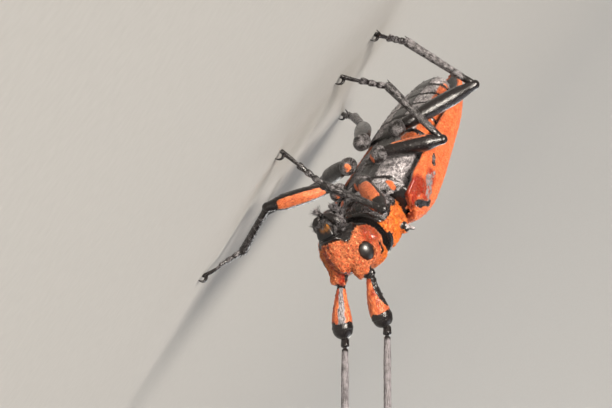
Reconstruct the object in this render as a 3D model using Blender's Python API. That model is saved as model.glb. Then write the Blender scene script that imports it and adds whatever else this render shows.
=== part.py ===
"""Red spotted longicorn beetle, life size, standing on the floor and leaning to its left.

Metres, +Z up, floor at z = 0, head towards -Y, the animal's left side towards +X.
Body sizes are given in the body frame: x to the left, y to the rear, z to the back of the animal,
from a point on the long axis at the front edge of the wing cases.
"""
import math

import bmesh
import bpy
from mathutils import Matrix, Vector

MM = 0.001
GAP = 0.25 * MM

# Stance
BODY_HEIGHT = 7.25 * MM
BODY_PITCH = math.radians(6.0)
BODY_ROLL = math.radians(29.0)

ORIGIN_SHIFT = Vector((-5.255, 3.665)) * MM
STANDING = Matrix.Identity(4)

# Head
HEAD_FRONT_Y = -6.62 * MM
HEAD_REAR_Y = -3.45 * MM
HEAD_HALF_WIDTH = 2.05 * MM
HEAD_TOP = 1.85 * MM
HEAD_BROW = 0.0 * MM
HEAD_BOTTOM = -2.05 * MM
HEAD_JAW_REAR_Y = -4.3 * MM
HEAD_CROWN_SLOPE = 2.3 * MM
FACE_DEPTH = 1.66 * MM
FACE_NARROWING = 0.2
NECK_HALF_WIDTH = 1.75 * MM
TUBERCLE_TIP = Vector((0.9, -6.3, 0.72)) * MM
TUBERCLE_FOOT = Vector((0.85, -5.45, -0.3)) * MM
TUBERCLE_RADIUS = 0.88 * MM
TUBERCLE_TIP_RADIUS = 0.46 * MM
EYE_CENTRE = Vector((1.6, -5.55, -0.16)) * MM
EYE_HALF = Vector((0.34, 0.52, 0.66)) * MM
EYE_TURN = math.radians(33.0)

# Mouth
LABRUM_TOP = Vector((0.0, -6.1, -2.3)) * MM
LABRUM_TIP = Vector((0.0, -5.65, -3.3)) * MM
LABRUM_HALF_WIDTH = 0.7 * MM
LABRUM_HALF_DEPTH = 0.26 * MM
MANDIBLE_ROOT = Vector((0.9, -4.95, -2.45)) * MM
MANDIBLE_BEND = Vector((0.85, -5.3, -3.3)) * MM
MANDIBLE_TIP = Vector((0.3, -4.95, -3.5)) * MM
MANDIBLE_RADIUS = 0.4 * MM
PALP_ROOT = Vector((0.5, -4.1, -2.35)) * MM
PALP_BEND = Vector((0.85, -4.2, -3.3)) * MM
PALP_TIP = Vector((0.6, -4.6, -3.9)) * MM
PALP_RADIUS = 0.26 * MM

# Forebody
PRONOTUM_FRONT_Y = -3.2 * MM
PRONOTUM_REAR_Y = -0.25 * MM
PRONOTUM_HALF_WIDTH = 2.5 * MM
PRONOTUM_TOP = 2.0 * MM
PRONOTUM_BOTTOM = -2.0 * MM
SPINE_ROOT = Vector((2.0, -1.45, 0.75)) * MM
SPINE_TIP = Vector((3.15, -1.75, 1.3)) * MM
SPINE_RADIUS = 0.46 * MM
SPINE_TIP_RADIUS = 0.14 * MM

# Wing cases and hind body
ELYTRA_LENGTH = 15.3 * MM
ELYTRA_HALF_WIDTH = 3.6 * MM
ELYTRA_TOP = 2.2 * MM
ELYTRA_MARGIN = -0.8 * MM
ELYTRA_APEX_TOP = -0.2 * MM
ELYTRA_THICKNESS = 0.5 * MM
SHOULDER_SHARE = 0.93
SHOULDER_SWELL = 0.1
SHOULDER_SPREAD = 0.03
WAIST_SHARE = 0.9
FLANK_SQUARE = 0.62
FLANK_ROUND = 0.86
SCUTELLUM_HALF_WIDTH = 0.5 * MM
SCUTELLUM_LENGTH = 1.0 * MM
SCUTELLUM_THICKNESS = 0.5 * MM
STERNUM_REAR_Y = 6.1 * MM
BELLY_HALF_WIDTH = 2.6 * MM
BELLY_TOP = 1.15 * MM
STERNUM_BOTTOM = -2.15 * MM
ABDOMEN_LENGTH = 8.0 * MM
ABDOMEN_BOTTOM = -2.35 * MM

# Legs: the thigh's root in the body frame, the other joints over the floor
COXA_HALF = Vector((0.62, 0.72, 0.6)) * MM
COXA_CENTRE = {"fore": (1.1, -0.8, -2.7), "mid": (1.4, 2.1, -2.95), "hind": (1.6, 5.2, -2.88)}
LEGS = {
    "fore_right": ((-1.2, -1.0, -2.85), (-4.5, -4.3, 7.8), (-3.8, -5.0, 3.7), (-4.1, -5.0, 0.1)),
    "mid_right": ((-1.5, 2.3, -3.0), (-4.75, 4.6, 8.05), (-5.75, 4.7, 3.0), (-5.9, 2.6, 0.1)),
    "hind_right": ((-1.6, 5.3, -2.85), (-5.6, 10.3, 7.5), (-5.5, 10.0, 2.0), (-6.9, 7.1, 0.1)),
    "fore_left": ((1.35, -0.9, -3.35), (1.7, -4.2, 1.1), (5.9, -4.8, 1.3), (7.9, -7.0, 0.1)),
    "mid_left": ((1.5, 2.3, -3.0), (3.9, 3.6, 2.7), (8.3, 4.2, 1.4), (11.3, 4.7, 0.1)),
    "hind_left": ((1.6, 5.3, -3.0), (3.1, 9.7, 2.5), (6.4, 13.6, 1.2), (8.9, 15.9, 0.1)),
}
FEMUR_RADIUS = {"fore": 0.55 * MM, "mid": 0.54 * MM, "hind": 0.55 * MM}
KNEE_RADIUS = 0.4 * MM
HIP_RADIUS = 0.3 * MM
TIBIA_KNEE_RADIUS = 0.25 * MM
TIBIA_ANKLE_RADIUS = 0.34 * MM
TARSUS_RADIUS = 0.33 * MM
TARSUS_THIN_RADIUS = 0.25 * MM
CLAW_RADIUS = 0.2 * MM
CLAW_SPREAD = 0.42 * MM

# Feelers: directions in the body frame
SCAPE_ROOT = Vector((1.36, -6.42, 1.5)) * MM
SCAPE_RIGHT = Vector((0.07, -0.5, 0.86))
SCAPE_LEFT = Vector((0.16, -0.7, 0.7))
SCAPE_LENGTH = 2.7 * MM
SCAPE_BEND = Vector((-0.05, -0.12, -0.1)) * MM
SCAPE_BASE_RADIUS = 0.34 * MM
SCAPE_TIP_RADIUS = 0.7 * MM
SEAT_RIGHT = Vector((-0.19, -0.32, 0.92))
SEAT_LEFT = Vector((0.05, -0.5, 0.86))
FEELER_FORWARD = Vector((0.0, -0.85, 0.525))
FEELER_OUTWARD = Vector((0.62, -0.15, 0.75))
FEELER_RADIUS = 0.28 * MM
FEELER_TIP_RADIUS = 0.22 * MM
FEELER_LENGTHS = {"pedicel": 0.5, "third": 5.8, "fourth": 4.8, "middle": 6.0, "outer": 5.0, "tip": 5.0}

PLACE = Matrix.Translation((ORIGIN_SHIFT.x, ORIGIN_SHIFT.y, 0.0))
BODY = (
    PLACE
    @ Matrix.Translation((0.0, 0.0, BODY_HEIGHT))
    @ Matrix.Rotation(-BODY_PITCH, 4, "X")
    @ Matrix.Rotation(BODY_ROLL, 4, "Y")
)

COLOURS = {
    "velvet_red": ((0.62, 0.09, 0.03), 0.8),
    "shell_black": ((0.012, 0.011, 0.012), 0.3),
    "eye_black": ((0.006, 0.006, 0.008), 0.12),
    "scape_red": ((0.5, 0.08, 0.03), 0.7),
    "mouth_amber": ((0.2, 0.06, 0.01), 0.4),
}


def clear_scene():
    for old in list(bpy.data.objects):
        bpy.data.objects.remove(old, do_unlink=True)


def material(name):
    found = bpy.data.materials.get(name)
    if found:
        return found
    colour, roughness = COLOURS[name]
    made = bpy.data.materials.new(name)
    made.use_nodes = True
    shader = made.node_tree.nodes["Principled BSDF"]
    shader.inputs["Base Color"].default_value = (*colour, 1.0)
    shader.inputs["Roughness"].default_value = roughness
    return made


def mirrored(point, side):
    return Vector((point.x * side, point.y, point.z))


def smooth(t):
    t = min(max(t, 0.0), 1.0)
    return t * t * (3.0 - 2.0 * t)


def mix(a, b, t):
    return a + (b - a) * t


def add_mesh(name, rings, slot, matrix, close_tips=True):
    """One closed solid from rings of points, with a fan over each end."""
    bm = bmesh.new()
    rows = [[bm.verts.new(matrix @ p) for p in ring] for ring in rings]
    count = len(rings[0])
    for low, high in zip(rows, rows[1:]):
        for k in range(count):
            n = (k + 1) % count
            bm.faces.new((low[k], low[n], high[n], high[k]))
    for row, ring in ((rows[0][::-1], rings[0]), (rows[-1], rings[-1])):
        if close_tips:
            middle = bm.verts.new(matrix @ (sum(ring, Vector()) / count))
            for k in range(count):
                bm.faces.new((row[k], row[(k + 1) % count], middle))
        else:
            bm.faces.new(row)
    bmesh.ops.triangulate(bm, faces=bm.faces[:])
    bmesh.ops.recalc_face_normals(bm, faces=bm.faces[:])
    mesh = bpy.data.meshes.new(name)
    bm.to_mesh(mesh)
    bm.free()
    for face in mesh.polygons:
        face.use_smooth = True
    made = bpy.data.objects.new(name, mesh)
    bpy.context.scene.collection.objects.link(made)
    mesh.materials.append(material(slot))
    return made


def section(y, half_width, top, bottom, waist, count, power=2.4):
    """A ring across the body at one place along it, rounder or squarer by its power."""
    ring = []
    for k in range(count):
        angle = 2.0 * math.pi * k / count
        c, s = math.cos(angle), math.sin(angle)
        x = half_width * math.copysign(abs(c) ** (2.0 / power), c)
        reach = (top - waist) if s > 0 else (waist - bottom)
        z = waist + reach * math.copysign(abs(s) ** (2.0 / power), s)
        ring.append(Vector((x, y, z)))
    return ring


def tube_rings(path, radii, count, flat=1.0, up=Vector((0, 0, 1))):
    """Rings along a path of points, each square to the path there."""
    rings = []
    side = None
    for i, (point, radius) in enumerate(zip(path, radii)):
        ahead = path[min(i + 1, len(path) - 1)] - path[max(i - 1, 0)]
        ahead.normalize()
        if side is None:
            side = ahead.cross(up)
            if side.length < 0.1:
                side = ahead.cross(Vector((0, 1, 0)))
        side = (side - ahead * side.dot(ahead)).normalized()
        high = side.cross(ahead).normalized()
        ring = []
        for k in range(count):
            angle = 2.0 * math.pi * k / count
            ring.append(point + side * (radius * math.cos(angle)) + high * (radius * flat * math.sin(angle)))
        rings.append(ring)
    return rings


def limb(name, start, end, radius_at, slot, matrix=STANDING, count=10, steps=6, bend=None, flat=1.0):
    """A limb piece with domed ends, from one ball centre to another."""
    first, last = radius_at(0.0), radius_at(1.0)
    axis = (end - start).normalized()
    path, radii = [], []
    for lift in (0.92, 0.62):
        path.append(start - axis * first * lift)
        radii.append(first * math.sqrt(1.0 - lift * lift))
    for i in range(steps + 1):
        t = i / steps
        point = start.lerp(end, t)
        if bend is not None:
            point = point + bend * (4.0 * t * (1.0 - t))
        path.append(point)
        radii.append(radius_at(t))
    for lift in (0.62, 0.92):
        path.append(end + axis * last * lift)
        radii.append(last * math.sqrt(1.0 - lift * lift))
    return add_mesh(name, tube_rings(path, radii, count, flat), slot, matrix)


def ellipsoid(name, centre, half, slot, matrix, around=14, along=8):
    rings = []
    for i in range(1, along):
        angle = math.pi * i / along
        rings.append([
            centre + Vector((
                half.x * math.sin(angle) * math.cos(2.0 * math.pi * k / around),
                half.y * math.sin(angle) * math.sin(2.0 * math.pi * k / around),
                half.z * math.cos(angle),
            ))
            for k in range(around)
        ])
    return add_mesh(name, rings, slot, matrix)


def join(base, extras, mode="UNION"):
    """Fuse pieces into a base with one Boolean and keep its largest closed surface."""
    group = bpy.data.collections.new("pieces")
    bpy.context.scene.collection.children.link(group)
    for piece in extras:
        bpy.context.scene.collection.objects.unlink(piece)
        group.objects.link(piece)
    step = base.modifiers.new("join", "BOOLEAN")
    step.operation = mode
    step.operand_type = "COLLECTION"
    step.collection = group
    step.solver = "EXACT"
    depsgraph = bpy.context.evaluated_depsgraph_get()
    solid = bpy.data.meshes.new_from_object(base.evaluated_get(depsgraph))
    base.modifiers.clear()
    base.data = solid
    for piece in list(group.objects):
        bpy.data.objects.remove(piece, do_unlink=True)
    bpy.data.collections.remove(group)
    keep_largest(base)
    return base


def keep_largest(shape):
    bm = bmesh.new()
    bm.from_mesh(shape.data)
    left = set(bm.verts)
    shells = []
    while left:
        queue = [left.pop()]
        shell = set(queue)
        while queue:
            for edge in queue.pop().link_edges:
                for vert in edge.verts:
                    if vert not in shell:
                        shell.add(vert)
                        queue.append(vert)
        left -= shell
        shells.append(shell)
    shells.sort(key=len)
    loose = [vert for shell in shells[:-1] for vert in shell]
    bmesh.ops.delete(bm, geom=loose, context="VERTS")
    bmesh.ops.triangulate(bm, faces=bm.faces[:])
    bm.to_mesh(shape.data)
    bm.free()


def clear_start(joint, way, radius, spans):
    """The nearest point beyond a joint whose ball clears the pieces it grows from by the gap.

    Each span is a start, an end, and a function of the radius between them.
    """
    reach = 0.0
    for _ in range(200):
        point = joint + way * reach
        clear = True
        for start, end, radius_at in spans:
            axis = end - start
            for i in range(9):
                t = i / 8
                if (point - (start + axis * t)).length < radius + GAP + radius_at(t):
                    clear = False
        if clear:
            break
        reach += 0.02 * MM
    return joint + way * reach


def stand_flat(shape):
    """Cut a foot level with the floor."""
    bm = bmesh.new()
    bm.from_mesh(shape.data)
    bmesh.ops.bisect_plane(
        bm, geom=bm.verts[:] + bm.edges[:] + bm.faces[:], dist=0.000001,
        plane_co=(0, 0, 0), plane_no=(0, 0, -1), clear_outer=True,
    )
    rim = [edge for edge in bm.edges if edge.is_boundary]
    bmesh.ops.holes_fill(bm, edges=rim, sides=0)
    bmesh.ops.triangulate(bm, faces=bm.faces[:])
    bmesh.ops.recalc_face_normals(bm, faces=bm.faces[:])
    bm.to_mesh(shape.data)
    bm.free()


def head_ring(t, count):
    """Level head section from the mouth (t = 0) to the crown (t = 1): a curved face, a straight neck."""
    z = mix(HEAD_BOTTOM, HEAD_TOP, t)
    brow = max(0.0, (z - HEAD_BROW) / (HEAD_TOP - HEAD_BROW))
    jaw = max(0.0, 1.0 - t / 0.22)
    front = HEAD_FRONT_Y + HEAD_CROWN_SLOPE * brow ** 1.25 + 0.3 * MM * jaw ** 2
    rear = mix(HEAD_REAR_Y, HEAD_JAW_REAR_Y, jaw ** 0.8)
    low = min(1.0, max(0.0, (HEAD_BROW - z) / (HEAD_BROW - HEAD_BOTTOM)))
    half_width = HEAD_HALF_WIDTH * (1.0 - 0.15 * jaw ** 1.5) * math.sqrt(max(0.05, 1.0 - 0.82 * brow ** 2.6))
    half_width *= 1.0 - FACE_NARROWING * low
    waist = min(front + FACE_DEPTH * (1.0 - 0.45 * brow), rear - 0.3 * MM)
    neck = NECK_HALF_WIDTH / HEAD_HALF_WIDTH
    ring = []
    for k in range(count):
        angle = 2.0 * math.pi * k / count
        c, s = math.cos(angle), math.sin(angle)
        if s < 0:
            x = half_width * math.copysign(abs(c) ** (1.0 + 2.0 * FACE_NARROWING * low), c)
            ring.append(Vector((x, waist + (waist - front) * s, z)))
        else:
            narrow = mix(1.0, neck, s * s)
            x = half_width * narrow * math.copysign(abs(c) ** 0.6, c)
            ring.append(Vector((x, waist + (rear - waist) * s ** 0.6, z)))
    return ring


def build_head():
    stations = (0.0, 0.06, 0.14, 0.24, 0.38, 0.52, 0.64, 0.74, 0.83, 0.91, 0.97, 1.0)
    head = add_mesh("head", [head_ring(t, 28) for t in stations], "velvet_red", BODY)
    horns = []
    for side in (-1, 1):
        foot, tip = mirrored(TUBERCLE_FOOT, side), mirrored(TUBERCLE_TIP, side)
        horns.append(limb(
            "tubercle", foot, tip, lambda t: mix(TUBERCLE_RADIUS, TUBERCLE_TIP_RADIUS, t),
            "velvet_red", BODY, count=12, steps=3,
        ))
    join(head, horns)
    room = EYE_HALF + Vector((GAP, GAP, GAP))
    sockets = [ellipsoid("socket", Vector(), room, "velvet_red", eye_place(side), 14, 6) for side in (-1, 1)]
    return join(head, sockets, "DIFFERENCE")


def eye_place(side):
    """An eye looks out to its side and a little forward, square to the cheek."""
    return BODY @ Matrix.Translation(mirrored(EYE_CENTRE, side)) @ Matrix.Rotation(-side * EYE_TURN, 4, "Z")


def build_eyes():
    for name, side in (("eye_right", -1), ("eye_left", 1)):
        ellipsoid(name, Vector(), EYE_HALF, "eye_black", eye_place(side), 14, 6)


def build_mouth():
    plate = []
    for i in range(6):
        t = i / 5
        centre = LABRUM_TOP.lerp(LABRUM_TIP, t)
        half_width = LABRUM_HALF_WIDTH * (1.0 - 0.45 * t * t)
        ring = []
        for k in range(14):
            angle = 2.0 * math.pi * k / 14
            x, y = half_width * math.cos(angle), LABRUM_HALF_DEPTH * math.sin(angle)
            ring.append(centre + Vector((x, y, 0.0)))
        plate.append(ring)
    add_mesh("labrum", plate, "mouth_amber", BODY)
    for name, side in (("mandible_right", -1), ("mandible_left", 1)):
        root, bend, tip = (mirrored(p, side) for p in (MANDIBLE_ROOT, MANDIBLE_BEND, MANDIBLE_TIP))
        path, radii = [], []
        for i in range(8):
            t = i / 7
            path.append(root.lerp(bend, t).lerp(bend.lerp(tip, t), t))
            slim = math.sqrt(max(0.05, 1.0 - t ** 1.6))
            radii.append(MANDIBLE_RADIUS * slim * mix(0.75, 1.0, smooth(t * 4)))
        add_mesh(name, tube_rings(path, radii, 10), "shell_black", BODY)
    for name, side in (("palp_right", -1), ("palp_left", 1)):
        root, bend, tip = (mirrored(p, side) for p in (PALP_ROOT, PALP_BEND, PALP_TIP))
        path = [root.lerp(bend, i / 6).lerp(bend.lerp(tip, i / 6), i / 6) for i in range(7)]
        radii = [PALP_RADIUS * r for r in (0.6, 1.0, 0.85, 1.0, 0.85, 1.0, 0.55)]
        add_mesh(name, tube_rings(path, radii, 8), "shell_black", BODY)


def pronotum_ring(t, count):
    swell = math.sin(math.pi * min(max(t, 0.0), 1.0))
    end = 1.0 - 0.05 * (smooth((0.12 - t) / 0.12) + smooth((t - 0.88) / 0.12))
    half_width = PRONOTUM_HALF_WIDTH * mix(0.87, 1.0, swell) * end
    top = PRONOTUM_TOP * mix(0.93, 1.0, swell) * end
    bottom = PRONOTUM_BOTTOM * mix(0.85, 1.0, swell) * end
    return section(mix(PRONOTUM_FRONT_Y, PRONOTUM_REAR_Y, t), half_width, top, bottom, -0.1 * MM, count, 2.3)


def build_pronotum():
    stations = (0.0, 0.1, 0.25, 0.5, 0.75, 0.9, 1.0)
    shape = add_mesh("pronotum", [pronotum_ring(t, 24) for t in stations], "velvet_red", BODY)
    spines = [
        limb("spine", mirrored(SPINE_ROOT, side), mirrored(SPINE_TIP, side),
             lambda t: mix(SPINE_RADIUS, SPINE_TIP_RADIUS, t), "velvet_red", BODY, count=10, steps=3)
        for side in (-1, 1)
    ]
    return join(shape, spines)


def shoulder_share(t):
    """The wing cases are highest and broadest a quarter of the way back."""
    return smooth(t / 0.2) * (1.0 - smooth((t - 0.3) / 0.32))


def elytra_half_width(t):
    shoulder = mix(SHOULDER_SHARE, 1.0, smooth(t / 0.06))
    tail = math.sqrt(max(0.0, 1.0 - max(0.0, (t - 0.55) / 0.46) ** 2.4))
    shoulder *= 1.0 + SHOULDER_SPREAD * shoulder_share(t)
    return ELYTRA_HALF_WIDTH * shoulder * mix(1.0, WAIST_SHARE, smooth(t / 0.5)) * max(tail, 0.12)


def elytra_top(t):
    rise = mix(SHOULDER_SHARE, 1.0, smooth(t / 0.12))
    swell = (ELYTRA_TOP - ELYTRA_MARGIN) * SHOULDER_SWELL * shoulder_share(t)
    return mix(ELYTRA_TOP * rise, ELYTRA_APEX_TOP, smooth((t - 0.35) / 0.68) ** 1.5) + swell


def elytron_ring(t, side, count):
    """Outer face from the middle seam to the side margin, then the inner face back."""
    half_width, top = elytra_half_width(t), elytra_top(t)
    reach = SCUTELLUM_LENGTH + 2.0 * GAP
    notch = (SCUTELLUM_HALF_WIDTH + 1.6 * GAP) * math.sqrt(max(0.0, 1.0 - t * ELYTRA_LENGTH / reach))
    inner_x = GAP / 2 + notch
    outer, inner = [], []
    for k in range(count):
        angle = math.radians(96.0) * k / (count - 1)
        c, s = math.cos(angle), math.sin(angle)
        power = mix(FLANK_SQUARE, FLANK_ROUND, smooth((t - 0.12) / 0.4))
        curve_x, curve_z = abs(s) ** power, max(c, 0.0) ** power + min(c, 0.0)
        x = inner_x + (half_width - inner_x) * curve_x
        z = ELYTRA_MARGIN + (top - ELYTRA_MARGIN) * curve_z
        outer.append(Vector((x * side, t * ELYTRA_LENGTH, z)))
        thick_x = min(ELYTRA_THICKNESS, (half_width - inner_x) * 0.6)
        thick_z = min(ELYTRA_THICKNESS, (top - ELYTRA_MARGIN) * 0.6)
        x = inner_x + (half_width - inner_x - thick_x) * curve_x
        z = ELYTRA_MARGIN + (top - ELYTRA_MARGIN - thick_z) * curve_z
        inner.append(Vector((x * side, t * ELYTRA_LENGTH, z)))
    return outer + inner[::-1]


def build_elytra():
    stations = (0.0, 0.02, 0.045, 0.08, 0.15, 0.25, 0.37, 0.5, 0.62, 0.73, 0.82, 0.89, 0.94, 0.975, 1.0)
    for name, side in (("elytron_right", -1), ("elytron_left", 1)):
        add_mesh(name, [elytron_ring(t, side, 10) for t in stations], "velvet_red", BODY, close_tips=False)
    length, half = SCUTELLUM_LENGTH, SCUTELLUM_HALF_WIDTH
    top = elytra_top(0.0) - 0.02 * MM
    rings = []
    for i in range(5):
        t = i / 4
        width = half * math.sqrt(max(0.03, 1.0 - t ** 1.8))
        y = mix(0.02 * MM, length, t)
        rings.append(section(y, width, top - 0.1 * MM * t, top - SCUTELLUM_THICKNESS, top - 0.3 * MM, 12))
    add_mesh("scutellum", rings, "velvet_red", BODY)


def belly_ring(y, half_width, top, bottom, count):
    return section(y, half_width, top, bottom, -0.9 * MM, count, 2.6)


def build_belly():
    rings = []
    for i in range(7):
        t = i / 6
        y = mix(0.05 * MM, STERNUM_REAR_Y, t)
        inner = elytra_half_width(y / ELYTRA_LENGTH) - ELYTRA_THICKNESS - 1.8 * GAP
        half = min(BELLY_HALF_WIDTH * mix(0.78, 1.0, smooth(t * 2.4)), inner)
        top = mix(BELLY_TOP - 0.45 * MM, BELLY_TOP, smooth(t * 3.0))
        rings.append(belly_ring(y, half, top, STERNUM_BOTTOM, 20))
    add_mesh("pterothorax", rings, "shell_black", BODY)
    rings = []
    for i in range(11):
        t = i / 10
        y = STERNUM_REAR_Y + GAP + ABDOMEN_LENGTH * t
        inner = elytra_half_width(y / ELYTRA_LENGTH) - ELYTRA_THICKNESS - 1.8 * GAP
        half = min(BELLY_HALF_WIDTH * mix(1.0, 0.35, t ** 3), inner)
        top = min(BELLY_TOP, elytra_top(y / ELYTRA_LENGTH) - ELYTRA_THICKNESS - 1.4 * GAP)
        bottom = mix(ABDOMEN_BOTTOM, -1.6 * MM, t ** 2.5)
        groove = 1.0 - 0.03 * (i % 2)
        rings.append(belly_ring(y, half * groove, top, bottom * groove, 20))
    add_mesh("abdomen", rings, "shell_black", BODY)


def build_leg(pair_side):
    pair = pair_side.split("_")[0]
    hip, knee, ankle, tip = (Vector(p) * MM for p in LEGS[pair_side])
    knee, ankle, tip = (PLACE @ p for p in (knee, ankle, tip))
    side = math.copysign(1.0, hip.x)
    coxa = mirrored(Vector(COXA_CENTRE[pair]) * MM, side)
    ellipsoid(pair_side + "_coxa", coxa, COXA_HALF, "shell_black", BODY, 12, 6)
    root, coxa = BODY @ hip, BODY @ coxa
    out = (knee - root).normalized()
    start = clear_start(root, out, HIP_RADIUS, [(coxa, coxa, lambda t: COXA_HALF.y)])
    thick = FEMUR_RADIUS[pair]

    def femur_radius(t):
        body = HIP_RADIUS + (thick - HIP_RADIUS) * math.sin(math.pi * min(0.5, t * 0.95)) ** 0.8
        return mix(body, KNEE_RADIUS, smooth((t - 0.7) / 0.3))

    limb(pair_side + "_femur", start, knee, femur_radius, "shell_black", count=12, steps=7)
    shin = (ankle - knee).normalized()
    start = clear_start(knee, shin, TIBIA_KNEE_RADIUS, [(start, knee, femur_radius)])
    limb(pair_side + "_tibia", start, ankle, lambda t: mix(TIBIA_KNEE_RADIUS, TIBIA_ANKLE_RADIUS, t ** 1.3),
         "shell_black", count=10, steps=5)
    foot = (tip - ankle).normalized()
    start = clear_start(ankle, foot, TARSUS_THIN_RADIUS, [(ankle, ankle, lambda t: TIBIA_ANKLE_RADIUS)])

    def tarsus_radius(t):
        pads = 0.5 - 0.5 * math.cos(2.0 * math.pi * min(t / 0.2, 3.0))
        pads = pads if t < 0.6 else 0.0
        return mix(TARSUS_THIN_RADIUS, TARSUS_RADIUS, pads)

    shape = limb(pair_side + "_tarsus", start, tip, tarsus_radius, "shell_black", count=10, steps=10)
    flat_way = Vector((foot.x, foot.y, 0.0))
    if flat_way.length < 0.3:
        flat_way = Vector((0.0, -1.0, 0.0))
    flat_way.normalize()
    across = flat_way.cross(Vector((0, 0, 1)))
    claws = []
    for turn in (-1, 1):
        root_point = tip - foot * 0.1 * MM
        claw_tip = Vector((tip.x, tip.y, 0.02 * MM)) + flat_way * 0.45 * MM + across * (turn * CLAW_SPREAD)
        claws.append(limb("claw", root_point, claw_tip, lambda t: mix(CLAW_RADIUS, CLAW_RADIUS * 0.6, t),
                          "shell_black", count=8, steps=3, bend=Vector((0, 0, 0.12 * MM))))
    join(shape, claws)
    stand_flat(shape)


def build_feeler(side, name, scape_way, seat_way):
    root = mirrored(SCAPE_ROOT, side)
    way = scape_way.normalized()
    end = root + way * SCAPE_LENGTH
    foot, tip = mirrored(TUBERCLE_FOOT, side), mirrored(TUBERCLE_TIP, side)
    horn = (foot, tip, lambda t: mix(TUBERCLE_RADIUS, TUBERCLE_TIP_RADIUS, t))
    start = clear_start(root, way, SCAPE_BASE_RADIUS, [horn])

    def scape_radius(t):
        return mix(SCAPE_BASE_RADIUS, SCAPE_TIP_RADIUS, smooth(t / 0.9))

    limb(name + "_scape", start, end, scape_radius, "scape_red", BODY,
         count=12, steps=6, bend=mirrored(SCAPE_BEND, side))
    point = end + seat_way.normalized() * (SCAPE_TIP_RADIUS + GAP / 2.0)
    forward = FEELER_FORWARD.normalized()
    outward = mirrored(FEELER_OUTWARD, side).normalized()
    total = sum(FEELER_LENGTHS.values())
    gone = 0.0
    for part, length in FEELER_LENGTHS.items():
        path, radii = [], []
        steps = 2 if part == "pedicel" else 6
        point = point + forward.lerp(outward, smooth((gone - 4.0) / (total - 4.0))).normalized() * GAP
        for i in range(steps + 1):
            share = (gone + length * i / steps) / total
            heading = forward.lerp(outward, smooth((share * total - 6.0) / (total - 6.0))).normalized()
            radius = mix(FEELER_RADIUS, FEELER_TIP_RADIUS, share)
            path.append(point.copy())
            radii.append(radius * (0.7 if i in (0, steps) else 1.0))
            if i < steps:
                point = point + heading * (length * MM - GAP) / steps
        gone += length
        add_mesh(name + "_" + part, tube_rings(path, radii, 8), "shell_black", BODY)


def main():
    clear_scene()
    build_head()
    build_eyes()
    build_mouth()
    build_pronotum()
    build_elytra()
    build_belly()
    for pair_side in LEGS:
        build_leg(pair_side)
    build_feeler(-1, "feeler_right", SCAPE_RIGHT, SEAT_RIGHT)
    build_feeler(1, "feeler_left", SCAPE_LEFT, SEAT_LEFT)


main()
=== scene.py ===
"""Red spotted longicorn beetle, life size: skins, short velvet pile, bristles, studio stage and camera.

The body is worked out in millimetres in the body frame (x to the animal's left, y to its rear, z to its
back) and in millimetres over the floor for legs, and goes into the meshes in metres at the end.
"""
import math
from functools import partial

import bmesh
import bpy
import numpy as np
from mathutils import Matrix, Vector, noise


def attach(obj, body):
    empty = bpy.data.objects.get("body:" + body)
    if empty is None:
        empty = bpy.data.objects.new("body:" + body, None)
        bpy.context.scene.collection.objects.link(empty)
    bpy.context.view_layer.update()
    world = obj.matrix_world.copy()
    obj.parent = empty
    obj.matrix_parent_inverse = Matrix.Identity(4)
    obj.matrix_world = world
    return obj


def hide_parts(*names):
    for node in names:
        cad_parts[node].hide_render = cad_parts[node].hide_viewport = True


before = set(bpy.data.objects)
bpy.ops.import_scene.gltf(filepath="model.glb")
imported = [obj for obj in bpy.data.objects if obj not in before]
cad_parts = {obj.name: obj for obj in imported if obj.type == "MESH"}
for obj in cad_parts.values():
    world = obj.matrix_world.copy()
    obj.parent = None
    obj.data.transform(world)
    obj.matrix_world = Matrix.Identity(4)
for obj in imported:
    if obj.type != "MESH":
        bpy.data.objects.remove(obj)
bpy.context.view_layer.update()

bl_info = {
    "name": "Red longicorn beetle",
    "version": (1, 0, 0),
    "blender": (4, 5, 0),
    "location": "3D View > Sidebar > Beetle",
    "description": "Makes a life-size red spotted longicorn beetle on a plain stage",
    "category": "Object",
}

MM = 0.001
GAP = 0.25

# Stance
BODY_HEIGHT, BODY_PITCH, BODY_ROLL = 7.25, math.radians(6.0), math.radians(29.0)
SHIFT = Vector((-5.255, 3.665, 0.0))
STANDING = Matrix.Identity(4)
PLACE = Matrix.Translation(SHIFT)
BODY = (
    PLACE
    @ Matrix.Translation((0.0, 0.0, BODY_HEIGHT))
    @ Matrix.Rotation(-BODY_PITCH, 4, "X")
    @ Matrix.Rotation(BODY_ROLL, 4, "Y")
)

# Head
HEAD_FRONT_Y, HEAD_REAR_Y, HEAD_JAW_REAR_Y = -6.62, -3.45, -4.3
HEAD_HALF_WIDTH, NECK_HALF_WIDTH = 2.05, 1.75
HEAD_TOP, HEAD_BROW, HEAD_BOTTOM = 1.85, 0.0, -2.05
HEAD_CROWN_SLOPE, FACE_DEPTH, FACE_NARROWING = 2.3, 1.66, 0.2
TUBERCLE_TIP, TUBERCLE_FOOT = Vector((0.9, -6.3, 0.72)), Vector((0.85, -5.45, -0.3))
TUBERCLE_RADIUS, TUBERCLE_TIP_RADIUS = 0.88, 0.46
TUBERCLE_POINT, SOCKET = Vector((0.7, -6.55, 1.06)), Vector((1.42, -6.22, 1.02))
EYE_CENTRE, EYE_HALF, EYE_TURN = Vector((1.6, -5.55, -0.16)), Vector((0.34, 0.52, 0.66)), math.radians(33.0)

# Mouth
LABRUM_TOP, LABRUM_TIP = Vector((0.0, -6.1, -2.3)), Vector((0.0, -5.65, -3.3))
MANDIBLE = (Vector((0.9, -4.95, -2.3)), Vector((0.85, -5.3, -3.3)), Vector((0.3, -4.95, -3.5)))
PALP = (Vector((0.5, -4.1, -2.1)), Vector((0.85, -4.2, -3.3)), Vector((0.6, -4.6, -3.9)))

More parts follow.
